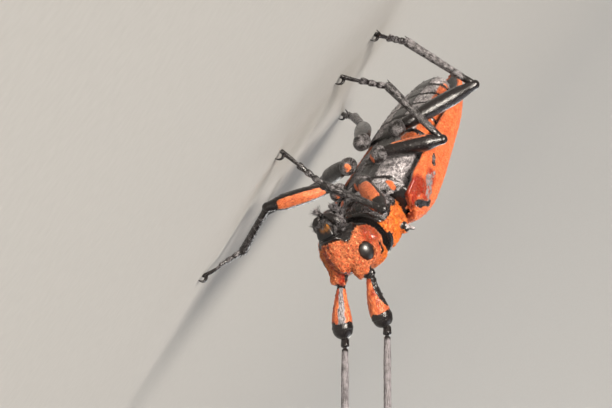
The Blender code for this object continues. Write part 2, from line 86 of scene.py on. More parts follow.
# Forebody
PRONOTUM_FRONT_Y, PRONOTUM_REAR_Y = -3.2, -0.25
PRONOTUM_HALF_WIDTH, PRONOTUM_TOP, PRONOTUM_BOTTOM = 2.5, 2.0, -2.0
SPINE_ROOT, SPINE_CONE = Vector((2.0, -1.5, 0.8)), Vector((2.5, -1.78, 1.12))
SPINE_FOOT, SPINE_TIP = Vector((2.4, -1.68, 0.95)), Vector((3.1, -1.75, 1.34))

# Wing cases and hind body
ELYTRA_LENGTH, ELYTRA_HALF_WIDTH = 15.3, 3.6
ELYTRA_TOP, ELYTRA_MARGIN, ELYTRA_APEX_TOP, ELYTRA_THICKNESS = 2.2, -0.8, -0.2, 0.5
SHOULDER_SHARE, SHOULDER_SWELL, SHOULDER_SPREAD, WAIST_SHARE = 0.93, 0.1, 0.03, 0.9
FLANK_SQUARE, FLANK_ROUND = 0.62, 0.86
SCUTELLUM_HALF_WIDTH, SCUTELLUM_LENGTH = 0.5, 1.0
STERNUM_REAR_Y, BELLY_HALF_WIDTH, BELLY_TOP, STERNUM_BOTTOM = 6.1, 2.6, 1.15, -2.15
ABDOMEN_LENGTH, ABDOMEN_BOTTOM = 8.0, -2.35
PLATE_CUTS = np.array((0.0, 0.24, 0.42, 0.58, 0.74, 1.01))
CHEST_PATCH = Vector((2.05, 0.42, -1.65)), Vector((2.3, 0.12, -1.15))

# Legs: the thigh's root in the body frame, the other joints over the floor
SHIN_SILVER = {"fore": 0.6, "mid": 0.75, "hind": 1.0}
COXA_HALF, COXA_PATCH = Vector((0.62, 0.72, 0.6)), Vector((-0.3, -0.55, -0.15))
COXA_CENTRE = {"fore": (1.1, -0.8, -2.7), "mid": (1.4, 2.1, -2.95), "hind": (1.6, 5.2, -2.88)}
LEGS = {
    "fore_right": ((-1.2, -1.0, -2.85), (-4.5, -4.3, 7.8), (-3.8, -5.0, 3.7), (-4.1, -5.0, 0.1)),
    "mid_right": ((-1.5, 2.3, -3.0), (-4.75, 4.6, 8.05), (-5.75, 4.7, 3.0), (-5.9, 2.6, 0.1)),
    "hind_right": ((-1.6, 5.3, -2.85), (-5.6, 10.3, 7.5), (-5.5, 10.0, 2.0), (-6.9, 7.1, 0.1)),
    "fore_left": ((1.35, -0.9, -3.35), (1.7, -4.2, 1.1), (5.9, -4.8, 1.3), (7.9, -7.0, 0.1)),
    "mid_left": ((1.5, 2.3, -3.0), (3.9, 3.6, 2.7), (8.3, 4.2, 1.4), (11.3, 4.7, 0.1)),
    "hind_left": ((1.6, 5.3, -3.0), (3.1, 9.7, 2.5), (6.4, 13.6, 1.2), (8.9, 15.9, 0.1)),
}
FEMUR_RADIUS, KNEE_RADIUS, HIP_RADIUS = 0.63, 0.38, 0.32
TIBIA_KNEE_RADIUS, TIBIA_ANKLE_RADIUS = 0.25, 0.34
TARSUS_THIN_RADIUS = 0.17
CLAW_RADIUS, CLAW_SPREAD = 0.13, 0.42

# Feelers
SCAPE_ROOT, SCAPE_LENGTH, SCAPE_BEND = Vector((1.36, -6.42, 1.5)), 2.7, Vector((-0.05, -0.12, -0.1))
SCAPE_WAY = {-1: Vector((0.07, -0.5, 0.86)), 1: Vector((0.16, -0.7, 0.7))}
SCAPE_BASE_RADIUS, SCAPE_TIP_RADIUS = 0.34, 0.7
SEAT_WAY = {-1: Vector((-0.19, -0.32, 0.92)), 1: Vector((0.05, -0.5, 0.86))}
FEELER_FORWARD, FEELER_OUTWARD = Vector((0.0, -0.85, 0.525)), Vector((0.62, -0.15, 0.75))
FEELER_RADIUS, FEELER_TIP_RADIUS = 0.27, 0.21
FEELER_LENGTHS = (0.5, 5.8, 4.8, 3.1, 2.9, 2.6, 2.4, 1.9, 1.7, 1.4)
FEELER_TOTAL = round(sum(FEELER_LENGTHS), 1)
SIDES = {-1: "right", 1: "left"}

# Pile: how wide one tuft lies on its bake map
PATCH_SIZE = 0.003

# View of the photograph: the point between the eyes' heights that the framing is set from
EYE_POINT = Vector((-1.71, -5.6, 8.55)) + SHIFT
VIEW_AZIMUTH, VIEW_ELEVATION, VIEW_TURN = math.radians(-44.0), math.radians(4.0), math.radians(125.5)
VIEW_DISTANCE, PIXEL = 200.0, 0.067
EYE_PIXEL, PHOTO_SIZE = (367.0, 251.5), (612, 408)
SENSOR = 36.0

# Lights, in metres
LIGHT_CENTRE, LIGHT_REACH = Vector((-0.002, -0.004, 0.008)), 1.6


def linear(code):
    """An sRGB hex value as linear red, green, blue and alpha."""
    made = []
    for k in (0, 2, 4):
        part = int(code[k:k + 2], 16) / 255.0
        made.append(part / 12.92 if part <= 0.04045 else ((part + 0.055) / 1.055) ** 2.4)
    return (*made, 1.0)



# Small sums

def mix(a, b, t):
    return a + (b - a) * t


def smooth(t):
    t = np.clip(t, 0.0, 1.0)
    return t * t * (3.0 - 2.0 * t)


def bell(values, width):
    return np.exp(-(values / width) ** 2)


def taper(first, last, power=1.0):
    """A radius that runs from first to last along a limb."""
    return lambda t: mix(first, last, t ** power)


def circle(count):
    return np.arange(count) / count * 2.0 * math.pi


def unit(v):
    return v / np.maximum(np.linalg.norm(v, axis=-1, keepdims=True), 1e-9)


def mirrored(point, side):
    return Vector((point[0] * side, point[1], point[2]))


def folded(points):
    """A copy of the points with x taken as to one side."""
    p = points.copy()
    p[..., 0] = np.abs(p[..., 0])
    return p


def inside(reach, soft):
    """1 where reach is under 1 and 0 where it is over, with a soft edge."""
    return 1.0 - smooth((reach - 1.0 + soft) / (2.0 * soft))


def near(points, centre, half, soft=0.3):
    """1 inside an ellipsoid and 0 outside it."""
    return inside(np.linalg.norm((points - np.array(centre)) / np.array(half), axis=-1), soft)


def near_line(points, start, end, width, soft=0.3):
    """1 along a line from start to end, out to a half width."""
    start, end = np.array(start, float), np.array(end, float)
    axis = end - start
    t = np.clip((points - start) @ axis / (axis @ axis), 0.0, 1.0)
    return inside(np.linalg.norm(points - start - t[..., None] * axis, axis=-1) / width, soft)


def rough(points, size, seed=0.0):
    """Even noise from -1 to 1 whose bumps are about one size across, in millimetres."""
    flat = points.reshape(-1, 3) / size + seed
    return np.array([noise.noise(Vector(p)) for p in flat]).reshape(points.shape[:-1])


# Skins

class Skin:
    """Rows of points that become one mesh, with its markings as attributes."""

    def __init__(self):
        self.points, self.faces, self.marks, self.count = [], [], {}, 0

    def add(self, rows, span=(0.0, 1.0), grain=None, **marks):
        """Joins rings of points into a closed shell. A mark is a number or an array over the rings."""
        rows = np.asarray(rows, float)
        n, m = rows.shape[:2]
        base = self.count
        index = base + np.arange(n * m).reshape(n, m)
        nxt = np.roll(index, -1, axis=1)
        self.faces += np.stack((index[:-1], nxt[:-1], nxt[1:], index[1:]), axis=-1).reshape(-1, 4).tolist()
        turn = circle(m)
        wrap = np.empty((n, m, 3))
        wrap[..., 0], wrap[..., 1] = np.cos(turn), np.sin(turn)
        wrap[..., 2] = np.linspace(*span, n)[:, None]
        marks = {"wrap": wrap, "grain": rows if grain is None else grain, **marks}
        self.points.append(rows.reshape(-1, 3))
        self.count += n * m
        for row, ring in ((0, index[0][::-1]), (n - 1, index[-1])):
            self.points.append(rows[row].mean(axis=0)[None])
            self.faces += [[a, b, self.count] for a, b in zip(ring, np.roll(ring, -1))]
            self.count += 1
        for name in sorted(set(self.marks) | set(marks)):
            full = np.zeros((n, m, 3) if name in ("wrap", "grain", "lie") else (n, m))
            full[...] = marks.get(name, 0.0)
            ends = [full[row].reshape(m, -1).mean(axis=0) for row in (0, -1)]
            flat = np.vstack((full.reshape(n * m, -1), *ends))
            self.marks.setdefault(name, [np.zeros((base, flat.shape[1]))]).append(flat)

    def build(self, name):
        """The mesh object, still in millimetres."""
        mesh = bpy.data.meshes.new(name)
        mesh.from_pydata(np.vstack(self.points).tolist(), [], self.faces)
        for mark, parts in self.marks.items():
            set_mark(mesh, mark, np.vstack(parts))
        return linked(name, mesh)


def linked(name, data):
    """A new object in the scene."""
    made = bpy.data.objects.new(name, data)
    bpy.context.scene.collection.objects.link(made)
    return made


def set_mark(mesh, name, values):
    values = np.asarray(values, np.float32)
    wide = values.ndim == 2 and values.shape[1] == 3
    old = mesh.attributes.get(name)
    if old:
        mesh.attributes.remove(old)
    made = mesh.attributes.new(name, "FLOAT_VECTOR" if wide else "FLOAT", "POINT")
    made.data.foreach_set("vector" if wide else "value", values.ravel())


def read(items, key):
    """Three numbers for each item of a mesh's list."""
    flat = np.empty(len(items) * 3, np.float32)
    items.foreach_get(key, flat)
    return flat.reshape(-1, 3).astype(float)


def points_of(mesh):
    return read(mesh.vertices, "co")


def set_points(mesh, points):
    mesh.vertices.foreach_set("co", np.asarray(points, np.float32).ravel())
    mesh.update()


def fix_normals(mesh):
    """Turns a closed mesh's faces outwards."""
    bm = bmesh.new()
    bm.from_mesh(mesh)
    bmesh.ops.recalc_face_normals(bm, faces=bm.faces[:])
    bm.to_mesh(mesh)
    bm.free()
    mesh.update()


def applied(made):
    """The same object with its modifiers made into plain mesh."""
    bpy.context.view_layer.update()
    seen = made.evaluated_get(bpy.context.evaluated_depsgraph_get())
    mesh = bpy.data.meshes.new_from_object(seen)
    made.modifiers.clear()
    made.data = mesh
    return made


def fused(skin, name, cell, turns):
    """One closed skin over overlapping shells, with its steps smoothed out."""
    made = skin.build(name)
    step = made.modifiers.new("fuse", "REMESH")
    step.mode, step.voxel_size, step.adaptivity = "VOXEL", cell, 0.0
    even = made.modifiers.new("even", "SMOOTH")
    even.factor, even.iterations = 0.5, turns
    return applied(made)


def finish_piece(made, place, nodes, material):
    """Puts a piece in its place in metres, gives it its body and material, and hides the nodes it replaces.
    """
    mesh = made.data
    mesh.transform(Matrix.Scale(MM, 4) @ place)
    mesh.materials.clear()
    mesh.materials.append(material)
    mesh.polygons.foreach_set("use_smooth", [True] * len(mesh.polygons))
    mesh.update()
    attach(made, "root")
    if nodes:
        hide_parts(*nodes)
    return made


def tube(path, radii, count, flat=1.0, up=(0, 0, 1)):
    """Rings along a path, each square to it."""
    path = np.array([tuple(p) for p in path], float)
    ahead = unit(np.gradient(path, axis=0))
    turn = circle(count)
    side = np.cross(ahead[0], np.array(up, float))
    if np.linalg.norm(side) < 0.1:
        side = np.cross(ahead[0], (0.0, 1.0, 0.0))
    rows = np.empty((len(path), count, 3))
    for i, (point, way) in enumerate(zip(path, ahead)):
        side = unit(side - way * (side @ way))
        high = np.cross(side, way)
        rows[i] = point + radii[i] * (np.cos(turn)[:, None] * side + flat * np.sin(turn)[:, None] * high)
    return rows


def limb(start, end, radius_at, steps, count, bend=None, dome=5, **form):
    """Rings of a limb piece with domed ends, their radii, and their shares along it."""
    start, end = np.array(start, float), np.array(end, float)
    axis = unit(end - start)
    first, last = radius_at(0.0), radius_at(1.0)
    path, radii, shares = [], [], []
    lifts = [math.sin(math.pi / 2.0 * k / (dome + 0.5)) for k in range(1, dome + 1)]
    for lift in lifts[::-1]:
        path.append(start - axis * first * lift)
        radii.append(first * math.sqrt(1.0 - lift * lift))
        shares.append(0.0)
    for t in np.linspace(0.0, 1.0, steps + 1):
        curve = 0.0 if bend is None else np.array(bend, float) * 4.0 * t * (1.0 - t)
        path.append(start + (end - start) * t + curve)
        radii.append(radius_at(t))
        shares.append(t)
    for lift in lifts:
        path.append(end + axis * last * lift)
        radii.append(last * math.sqrt(1.0 - lift * lift))
        shares.append(1.0)
    radii = np.array(radii)
    return tube(path, radii, count, **form), radii, np.array(shares)


def curved(points, steps, side):
    """Places along a curve with one control point, and their shares."""
    root, bend, tip = (mirrored(p, side) for p in points)
    ts = np.linspace(0.0, 1.0, steps)
    return [root.lerp(bend, t).lerp(bend.lerp(tip, t), t) for t in ts], ts


def ball(centre, half, around=32, along=20):
    """Rings of an ellipsoid about its upright axis."""
    tall, turn = np.linspace(0.04, math.pi - 0.04, along)[:, None], circle(around)
    rows = np.empty((along, around, 3))
    rows[..., 0] = half[0] * np.sin(tall) * np.cos(turn)
    rows[..., 1] = half[1] * np.sin(tall) * np.sin(turn)
    rows[..., 2] = half[2] * np.cos(tall)
    return rows + np.array(tuple(centre))


def limb_grain(rows, radii):
    """Pattern coordinates along a limb: round it in x and z, along it in y."""
    middle, turn = rows.mean(axis=1), circle(rows.shape[1])
    along = np.concatenate(([0.0], np.cumsum(np.linalg.norm(np.diff(middle, axis=0), axis=1))))
    grain = np.empty(rows.shape)
    grain[..., 0] = radii[:, None] * np.cos(turn)
    grain[..., 1] = along[:, None]
    grain[..., 2] = radii[:, None] * np.sin(turn)
    return grain + middle[0]


def ring_normals(rows):
    """Outward ways of the points of each ring."""
    return unit(rows - rows.mean(axis=1, keepdims=True))


def puckered(rows, *grits):
    """Rows moved outwards by noise: each grit a depth, a size and a seed."""
    lift = 0.0
    for depth, size, seed in grits:
        lift = lift + depth * rough(rows, size, seed)
    return rows + ring_normals(rows) * lift[..., None]


# Materials

def add_node(tree, kind, links=None, **settings):
    """One node with its settings, its sockets' values and its links."""
    made = tree.nodes.new(kind)
    for key, value in settings.items():
        setattr(made, key, value)
    for socket, source in (links or {}).items():
        if isinstance(source, bpy.types.NodeSocket):
            tree.links.new(source, made.inputs[socket])
        else:
            made.inputs[socket].default_value = source
    return made


def new_material(name, **values):
    """A material with constants on its shader, its node tree, and a function that links into the shader."""
    made = bpy.data.materials.new(name)
    made.use_nodes = True
    tree, shader = made.node_tree, made.node_tree.nodes["Principled BSDF"]
    for key, value in values.items():
        shader.inputs[key.replace("_", " ")].default_value = value
    return made, tree, lambda source, socket: tree.links.new(source, shader.inputs[socket])


def mark_of(tree, name, output="Fac"):
    return add_node(tree, "ShaderNodeAttribute", attribute_name=name).outputs[output]


def noise_of(tree, where, scale, detail, **more):
    return add_node(tree, "ShaderNodeTexNoise",
                    {"Vector": where, "Scale": scale, "Detail": detail, **more}).outputs["Fac"]


def ranged(tree, value, low, high, **settings):
    return add_node(tree, "ShaderNodeMapRange", {"Value": value, "From Min": low, "From Max": high},
                    **settings).outputs[0]


def blend_colour(tree, share, low, high):
    return add_node(tree, "ShaderNodeMix", {0: share, 6: low, 7: high}, data_type="RGBA").outputs[2]


def calc(tree, operation, a, b, clamp=False):
    return add_node(tree, "ShaderNodeMath", {0: a, 1: b}, operation=operation, use_clamp=clamp).outputs[0]


def bumped(tree, height, strength, distance):
    return add_node(tree, "ShaderNodeBump", {"Height": height, "Strength": strength, "Distance": distance})


def cuticle(name, pile=(0.6, 0.25), tips=False, streak=(9.0, 3.6), contrast=4.4, red=None, grey=None,
            relief=0.8):
    """Beetle cuticle: hard glossy shell, dulled where flat silky pile lies over it.

    The pile's hairs are 0.06 mm wide and run along the grain, drawn a little coarse so that they show.
    The pile is colour and bump together, and the bare shell is smooth between small punctures.
    Marks say where the pile is red or grey, where it is golden, and where it is rubbed off to red shell. In
    places the grey pile is a painted highlight and the red shell a painted shade.
    """
    colours = bpy.context.scene.beetle_colours
    made, tree, link = new_material(name, IOR=1.56, Sheen_Weight=pile[1], Sheen_Roughness=0.4)
    blend, add, times = (partial(blend_colour, tree), partial(calc, tree, "ADD"),
                         partial(calc, tree, "MULTIPLY"))
    less = partial(calc, tree, "SUBTRACT")
    red = red or (colours.red_deep, colours.red, colours.red_light)
    grey = grey or (colours.grey_deep, colours.grey)
    grain, gold = mark_of(tree, "grain", "Vector"), mark_of(tree, "gold")
    where = grain
    if tips:
        patch = mark_of(tree, "patch", "Vector")
        spread = add_node(tree, "ShaderNodeVectorMath", {0: patch, "Scale": 0.35},
                          operation="SCALE").outputs[0]
        where = add_node(tree, "ShaderNodeVectorMath", {0: grain, 1: spread}, operation="ADD").outputs[0]
    hairs = add_node(tree, "ShaderNodeMapping",
                     {"Vector": where, "Scale": (streak[0], streak[1], streak[0])})
    fine = noise_of(tree, hairs.outputs[0], 1.0, 3.0, Roughness=0.6, Distortion=0.4)
    broad = noise_of(tree, grain, 2.6, 4.0, Roughness=0.65)
    edge = less(add(times(fine, 0.8), times(broad, 0.4)), 0.6)
    reds, greys = (ranged(tree, add(mark_of(tree, mark), edge), 0.3, 0.68, interpolation_type="SMOOTHSTEP")
                   for mark in ("red", "grey"))
    bare = ranged(tree, add(mark_of(tree, "shade"), times(edge, 1.2)), 0.25, 0.8,
                  interpolation_type="SMOOTHSTEP")
    bare = times(bare, reds)
    tone = less(add(times(fine, contrast), times(broad, 1.1)), contrast * 0.5, True)
    ramp = add_node(tree, "ShaderNodeValToRGB", {0: tone})
    ramp.color_ramp.elements.new(0.42)
    for element, colour in zip(ramp.color_ramp.elements, red):
        element.color = colour
    golden = blend(add(tone, 0.3, True), red[0], colours.gold)
    velvet = blend(gold, ramp.outputs[0], golden)
    velvet = blend(bare, velvet, blend(broad, colours.bare_deep, colours.bare))
    base = blend(greys, blend(broad, colours.shell, colours.shell_warm), blend(tone, grey[0], grey[1]))
    base = blend(reds, base, velvet)
    covered = less(calc(tree, "MAXIMUM", reds, greys), bare, True)
    if tips:
        along = add_node(tree, "ShaderNodeSeparateXYZ", {0: patch}).outputs[0]
        base = blend(times(along, 0.45), base, blend(reds, grey[1], blend(gold, red[2], colours.gold)))
    link(base, "Base Color")
    dull = add_node(tree, "ShaderNodeMapRange", {"Value": covered, "To Min": 0.24, "To Max": pile[0]})
    link(add(dull.outputs[0], times(less(fine, 0.5), 0.25)), "Roughness")
    pits = add_node(tree, "ShaderNodeTexVoronoi", {"Vector": grain, "Scale": 7.5},
                    feature="F1").outputs["Distance"]
    height = add(times(fine, 1.6), times(times(ranged(tree, pits, 0.12, 0.4), 0.45), less(1.0, covered)))
    height = add(times(height, add(covered, 0.35)), times(broad, 0.8))
    link(bumped(tree, height, relief, 0.00003).outputs[0], "Normal")
    return made


def eye_glass(name):
    """Compound eye: polished black lens field, whose 0.03 mm facets are drawn at 0.05 mm to show."""
    colours = bpy.context.scene.beetle_colours
    made, tree, link = new_material(name, Roughness=0.36, IOR=1.56, Coat_Weight=0.5, Coat_Roughness=0.26)
    grain = mark_of(tree, "grain", "Vector")
    facets = add_node(tree, "ShaderNodeTexVoronoi", {"Vector": grain, "Scale": 20.0, "Randomness": 0.35})
    link(blend_colour(tree, noise_of(tree, grain, 2.4, 2.0), colours.eye, colours.eye_warm), "Base Color")
    bump = bumped(tree, facets.outputs["Distance"], 0.35, 0.00001)
    bump.invert = True
    link(bump.outputs[0], "Normal")
    return made


def amber_plate(name):
    """Thin brown chitin of the lip: a clear brown plate, darker to its rim, with a wet gloss."""
    colours = bpy.context.scene.beetle_colours
    made, tree, link = new_material(name, Roughness=0.3, IOR=1.56)
    cloud = noise_of(tree, mark_of(tree, "grain", "Vector"), 3.2, 4.0)
    share = calc(tree, "MULTIPLY", ranged(tree, cloud, 0.35, 0.6), mark_of(tree, "grey"))
    link(blend_colour(tree, share, colours.shell, colours.amber), "Base Color")
    link(bumped(tree, cloud, 0.6, 0.00004).outputs[0], "Normal")
    return made


def studio_paper(name):
    """Matt background paper, with a faint tooth."""
    made, tree, link = new_material(name, Roughness=0.9, Specular_IOR_Level=0.2)
    where = add_node(tree, "ShaderNodeTexCoord").outputs["Object"]
    link(blend_colour(tree, noise_of(tree, where, 1400.0, 2.0), linear("B5B3AF"), linear("BEBCB8")),
         "Base Color")
    return made


def known_material(name, maker, **settings):
    return bpy.data.materials.get(name) or maker(name, **settings)


# Body shapes, from the same sizes as the solids

def head_rows(steps, count):
    rows = np.empty((steps, count, 3))
    angle = circle(count)
    c, s = np.cos(angle), np.sin(angle)
    for i, t in enumerate(np.linspace(0.0, 1.0, steps)):
        z = mix(HEAD_BOTTOM, HEAD_TOP, t)
        brow = max(0.0, (z - HEAD_BROW) / (HEAD_TOP - HEAD_BROW))
        jaw = max(0.0, 1.0 - t / 0.22)
        front = HEAD_FRONT_Y + HEAD_CROWN_SLOPE * brow ** 1.25 + 0.3 * jaw ** 2
        rear = mix(HEAD_REAR_Y, HEAD_JAW_REAR_Y, jaw ** 0.8)
        low = min(1.0, max(0.0, (HEAD_BROW - z) / (HEAD_BROW - HEAD_BOTTOM)))
        half = HEAD_HALF_WIDTH * (1.0 - 0.15 * jaw ** 1.5) * math.sqrt(max(0.05, 1.0 - 0.82 * brow ** 2.6))
        half *= 1.0 - FACE_NARROWING * low
        waist = min(front + FACE_DEPTH * (1.0 - 0.45 * brow), rear - 0.3)
        fore = s < 0
        power = np.where(fore, 1.0 + 2.0 * FACE_NARROWING * low, 0.6)
        narrow = np.where(fore, 1.0, mix(1.0, NECK_HALF_WIDTH / HEAD_HALF_WIDTH, s * s))
        rows[i, :, 0] = half * narrow * np.sign(c) * np.abs(c) ** power
        rows[i, :, 1] = np.where(fore, waist + (waist - front) * s,
                                 waist + (rear - waist) * np.abs(s) ** 0.6)
        rows[i, :, 2] = z
    return rows


def section_rows(ys, halves, tops, bottoms, waist, count, power):
    angle = circle(count)
    c, s = np.cos(angle), np.sin(angle)
    rows = np.empty((len(ys), count, 3))
    for i, (y, half, top, bottom) in enumerate(zip(ys, halves, tops, bottoms)):
        reach = np.where(s > 0, top - waist, waist - bottom)
        rows[i, :, 0] = half * np.sign(c) * np.abs(c) ** (2.0 / power)
        rows[i, :, 1] = y
        rows[i, :, 2] = waist + reach * np.sign(s) * np.abs(s) ** (2.0 / power)
    return rows


def shoulder_share(t):
    return smooth(t / 0.2) * (1.0 - smooth((t - 0.3) / 0.32))


def elytra_half_width(t):
    shoulder = mix(SHOULDER_SHARE, 1.0, smooth(t / 0.06)) * (1.0 + SHOULDER_SPREAD * shoulder_share(t))
    tail = np.sqrt(np.maximum(0.0, 1.0 - np.maximum(0.0, (t - 0.55) / 0.46) ** 2.4))
    return ELYTRA_HALF_WIDTH * shoulder * mix(1.0, WAIST_SHARE, smooth(t / 0.5)) * np.maximum(tail, 0.12)


def elytra_top(t):
    rise = mix(SHOULDER_SHARE, 1.0, smooth(t / 0.12))
    swell = (ELYTRA_TOP - ELYTRA_MARGIN) * SHOULDER_SWELL * shoulder_share(t)
    return mix(ELYTRA_TOP * rise, ELYTRA_APEX_TOP, smooth((t - 0.35) / 0.68) ** 1.5) + swell


def elytron_face(t, share, side, sunk=0.0):
    """Points of a wing case's outer face (sunk = 0) or inner face, t along it and share round it."""
    half, top = elytra_half_width(t), elytra_top(t)
    reach = SCUTELLUM_LENGTH + 2.0 * GAP
    notch = (SCUTELLUM_HALF_WIDTH + 0.6 * GAP) * np.sqrt(np.maximum(0.0, 1.0 - t * ELYTRA_LENGTH / reach))
    inner = 0.012 + notch
    angle = np.radians(96.0) * share
    power = mix(FLANK_SQUARE, FLANK_ROUND, smooth((t - 0.12) / 0.4))
    thick_x = np.minimum(sunk, (half - inner) * 0.6)
    thick_z = np.minimum(sunk, (top - ELYTRA_MARGIN) * 0.6)
    curve_x = np.sin(angle) ** power
    curve_z = np.maximum(np.cos(angle), 0.0) ** power + np.minimum(np.cos(angle), 0.0)
    x = inner + (half - inner - thick_x) * curve_x
    z = ELYTRA_MARGIN + (top - ELYTRA_MARGIN - thick_z) * curve_z
    return np.stack((x * side, t * ELYTRA_LENGTH + 0.0 * x, z), axis=-1)


# Pieces

def set_marks(mesh, **marks):
    for name, values in marks.items():
        set_mark(mesh, name, values)


def together(x, y, z):
    return np.stack(np.broadcast_arrays(x, y, z), axis=-1)


def wrapped(turn, share):
    """Where a point lies on a skin's own unwrap: its angle round the skin and its share along it."""
    return together(np.cos(turn), np.sin(turn), share)


def head_shells():
    skin = Skin()
    skin.add(head_rows(70, 120))
    for side in SIDES:
        for start, end, radius, count in (
            (TUBERCLE_FOOT, TUBERCLE_TIP, taper(TUBERCLE_RADIUS, TUBERCLE_TIP_RADIUS), 40),
            ((0.8, -6.1, 0.5), TUBERCLE_POINT, taper(0.56, 0.13, 0.9), 32),
            ((1.0, -5.8, 0.2), (1.3, -6.3, 0.78), taper(0.6, 0.4), 32),
        ):
            skin.add(limb(mirrored(start, side), mirrored(end, side), radius, 10, count)[0])
        for centre, half in (
            ((1.16, -6.35, 1.02), (0.3, 0.28, 0.34)),
            ((1.2, -4.35, -0.95), (0.74, 0.78, 0.72)),
            ((1.15, -4.12, -0.25), (0.98, 0.76, 1.2)),
        ):
            skin.add(ball(mirrored(centre, side), half))
    skin.add(ball((0.0, -3.7, 0.0), (1.7, 0.9, 1.55)))
    return skin


def head_relief(points, groove):
    """How far the face's groove, folds and grain lift or sink the head's skin."""
    p = folded(points)
    x, y, z = p.T
    lift = -groove * near_line(p, (0.0, -5.2, 1.2), (0.0, -6.75, -1.7), 0.13, 0.9)
    crease = np.clip(1.0 - x / 0.62, 0.0, 1.0) * smooth((-5.5 - y) / 0.5)
    lift += 0.24 * crease * smooth((z + 2.0) / 0.5) * smooth((1.3 - z) / 0.9)
    for depth, start, end, width in (
        (0.04, (0.15, -5.6, 0.9), (0.14, -6.7, -1.8), 0.1),
        (-0.1, (0.0, -6.5, -1.93), (1.1, -6.1, -1.62), 0.06),
        (0.06, (0.55, -5.5, -1.72), (1.3, -4.6, -1.6), 0.2),
        (-0.12, (1.25, -5.95, -1.5), (1.35, -5.3, -1.2), 0.09),
    ):
        lift += depth * near_line(p, start, end, width, 0.9)
    return lift + (0.03 * rough(points, 0.55, 3.1) + 0.02 * rough(points, 0.17, 8.7))


def eye_local(side):
    return Matrix.Translation(mirrored(EYE_CENTRE, side)) @ Matrix.Rotation(-side * EYE_TURN, 4, "Z")


def with_socket(points, side):
    """The head's points with a sunk seat and a low rim for one eye."""
    place = eye_local(side)
    local, back = np.array(place.inverted()), np.array(place)
    q = points @ local[:3, :3].T + local[:3, 3]
    out = q[:, 0] * side
    rho = np.hypot((q[:, 1] - 0.05) / (EYE_HALF.y * 1.05), (q[:, 2] + 0.02) / (EYE_HALF.z * 1.03))
    rim = bell(rho - 1.22, 0.16) * 0.07
    seated = mix(out + rim, np.minimum(out, -0.05), smooth((1.14 - rho) / 0.12))
    q[:, 0] = np.where((out > -0.6) & (rho < 1.9), seated, out) * side
    return q @ back[:3, :3].T + back[:3, 3]


def head_marks(points):
    """The head's marks: its red pile, how far that is rubbed off to bare red or darkened as painted shade,
    and where it is golden.
    """
    p = folded(points)
    x, y, z = p.T
    border = np.interp(x, (0.0, 0.55, 0.92, 1.16, 1.4), (-2.0, -1.97, -1.75, -1.5, -1.5))
    rear = np.interp(y, (-5.75, -5.4, -4.9, -4.3, -3.6), (-1.5, -1.68, -1.72, -1.5, -0.9))
    red = smooth((z - np.where(y > -5.75, rear, border) + 0.05) / 0.1)
    seam = p.copy()
    seam[:, 0] += 0.05 * rough(points, 0.3, 3.0)
    for black in (
        near_line(p, (0.99, -5.95, -1.55), (1.2, -5.9, -1.3), 0.13),
        near(p, SOCKET, (0.46, 0.42, 0.4), 0.25),
        near(p, (1.26, -6.42, 1.12), (0.3, 0.36, 0.34), 0.2),
        np.maximum(near_line(p, (1.98, -4.4, 0.75), (2.1, -4.36, 0.25), 0.15),
                   near_line(p, (1.98, -4.42, 0.78), (1.93, -4.66, 0.74), 0.12)),
        smooth((y + 3.9) / 0.25),
        # Painted shade: a dark line along the face's middle groove, and the tubercles' inner walls darkened
        # as in shadow.
        0.9 * near_line(seam, (0.03, -6.7, 0.35), (0.03, -6.5, -1.9), 0.1, 0.4),
        0.8 * near_line(p, (0.28, -6.3, 0.65), (0.42, -6.55, 1.1), 0.24, 0.5),
    ):
        red *= 1.0 - black
    # Painted shade: the face's left half and left tubercle are darkened to bare red, as if turned away from
    # the light.
    painted_face_shade = np.maximum(near_line(points, (0.35, -6.5, 0.6), (0.5, -6.45, -1.4), 0.55, 0.6),
                      near_line(points, (0.45, -6.3, 0.4), (1.0, -6.5, 1.2), 0.42, 0.6))
    shade = np.maximum.reduce((
        # The first two are painted shade: dark bare red along the middle groove and over the face's left
        # half.
        0.9 * near_line(p, (0.0, -6.6, 0.5), (0.0, -6.5, -1.9), 0.16, 0.5),
        painted_face_shade * (0.68 + 0.7 * rough(points, 0.25, 17.0)),
        0.62 * near(p, (2.0, -4.5, -0.8), (0.9, 0.95, 0.9), 0.4),
        0.8 * near_line(p, (1.75, -5.15, -0.8), (1.8, -4.8, -0.5), 0.2),
        0.5 * near(p, (2.0, -4.75, -0.1), (0.6, 0.45, 0.8), 0.5)))
    return red, shade, near(p, (1.45, -4.3, 1.2), (0.8, 0.55, 0.8), 0.6)


class BEETLE_OT_head(bpy.types.Operator):
    """Head capsule with its tubercles, sunk eye rims, face groove and cheeks"""

    bl_idname = "beetle.head"
    bl_label = "Head"

    def execute(self, context):
        sizes, colours = context.scene.beetle_sizes, context.scene.beetle_colours
        made = fused(head_shells(), "head_skin", sizes.cell, 5)
        points = points_of(made.data)
        points += read(made.data.vertex_normals, "vector") * head_relief(points, sizes.groove)[:, None]
        for side in SIDES:
            points = with_socket(points, side)
        set_points(made.data, points)
        red, shade, gold = head_marks(points)
        x, y, z = points.T
        set_marks(made.data, red=red, grey=np.zeros(len(points)), shade=shade, gold=gold,
                  grain=points[:, [0, 2, 1]],
                  wrap=wrapped(np.arctan2(y + 5.0, x), (z + 2.6) / 4.9),
                  lie=together(0.25 * np.sign(x), 0.2, -1.0),
                  coat=red * (y < -3.6) * (1.0 - 0.75 * np.clip(shade * 1.4, 0.0, 1.0)))
        reds = (colours.bare_deep, colours.face, colours.face_light)
        pile = known_material("face_pile", cuticle, pile=(0.6, 0.04), tips=True, contrast=6.5, red=reds)
        grow_coat(made, "head_pile", sizes.pile_density * 1.7, sizes.pile_length, 11, BODY,
                  "velvet_red", pile)
        face = known_material("face_cuticle", cuticle, pile=(0.6, 0.08), red=reds)
        finish_piece(made, BODY, ["head"], face)
        return {"FINISHED"}


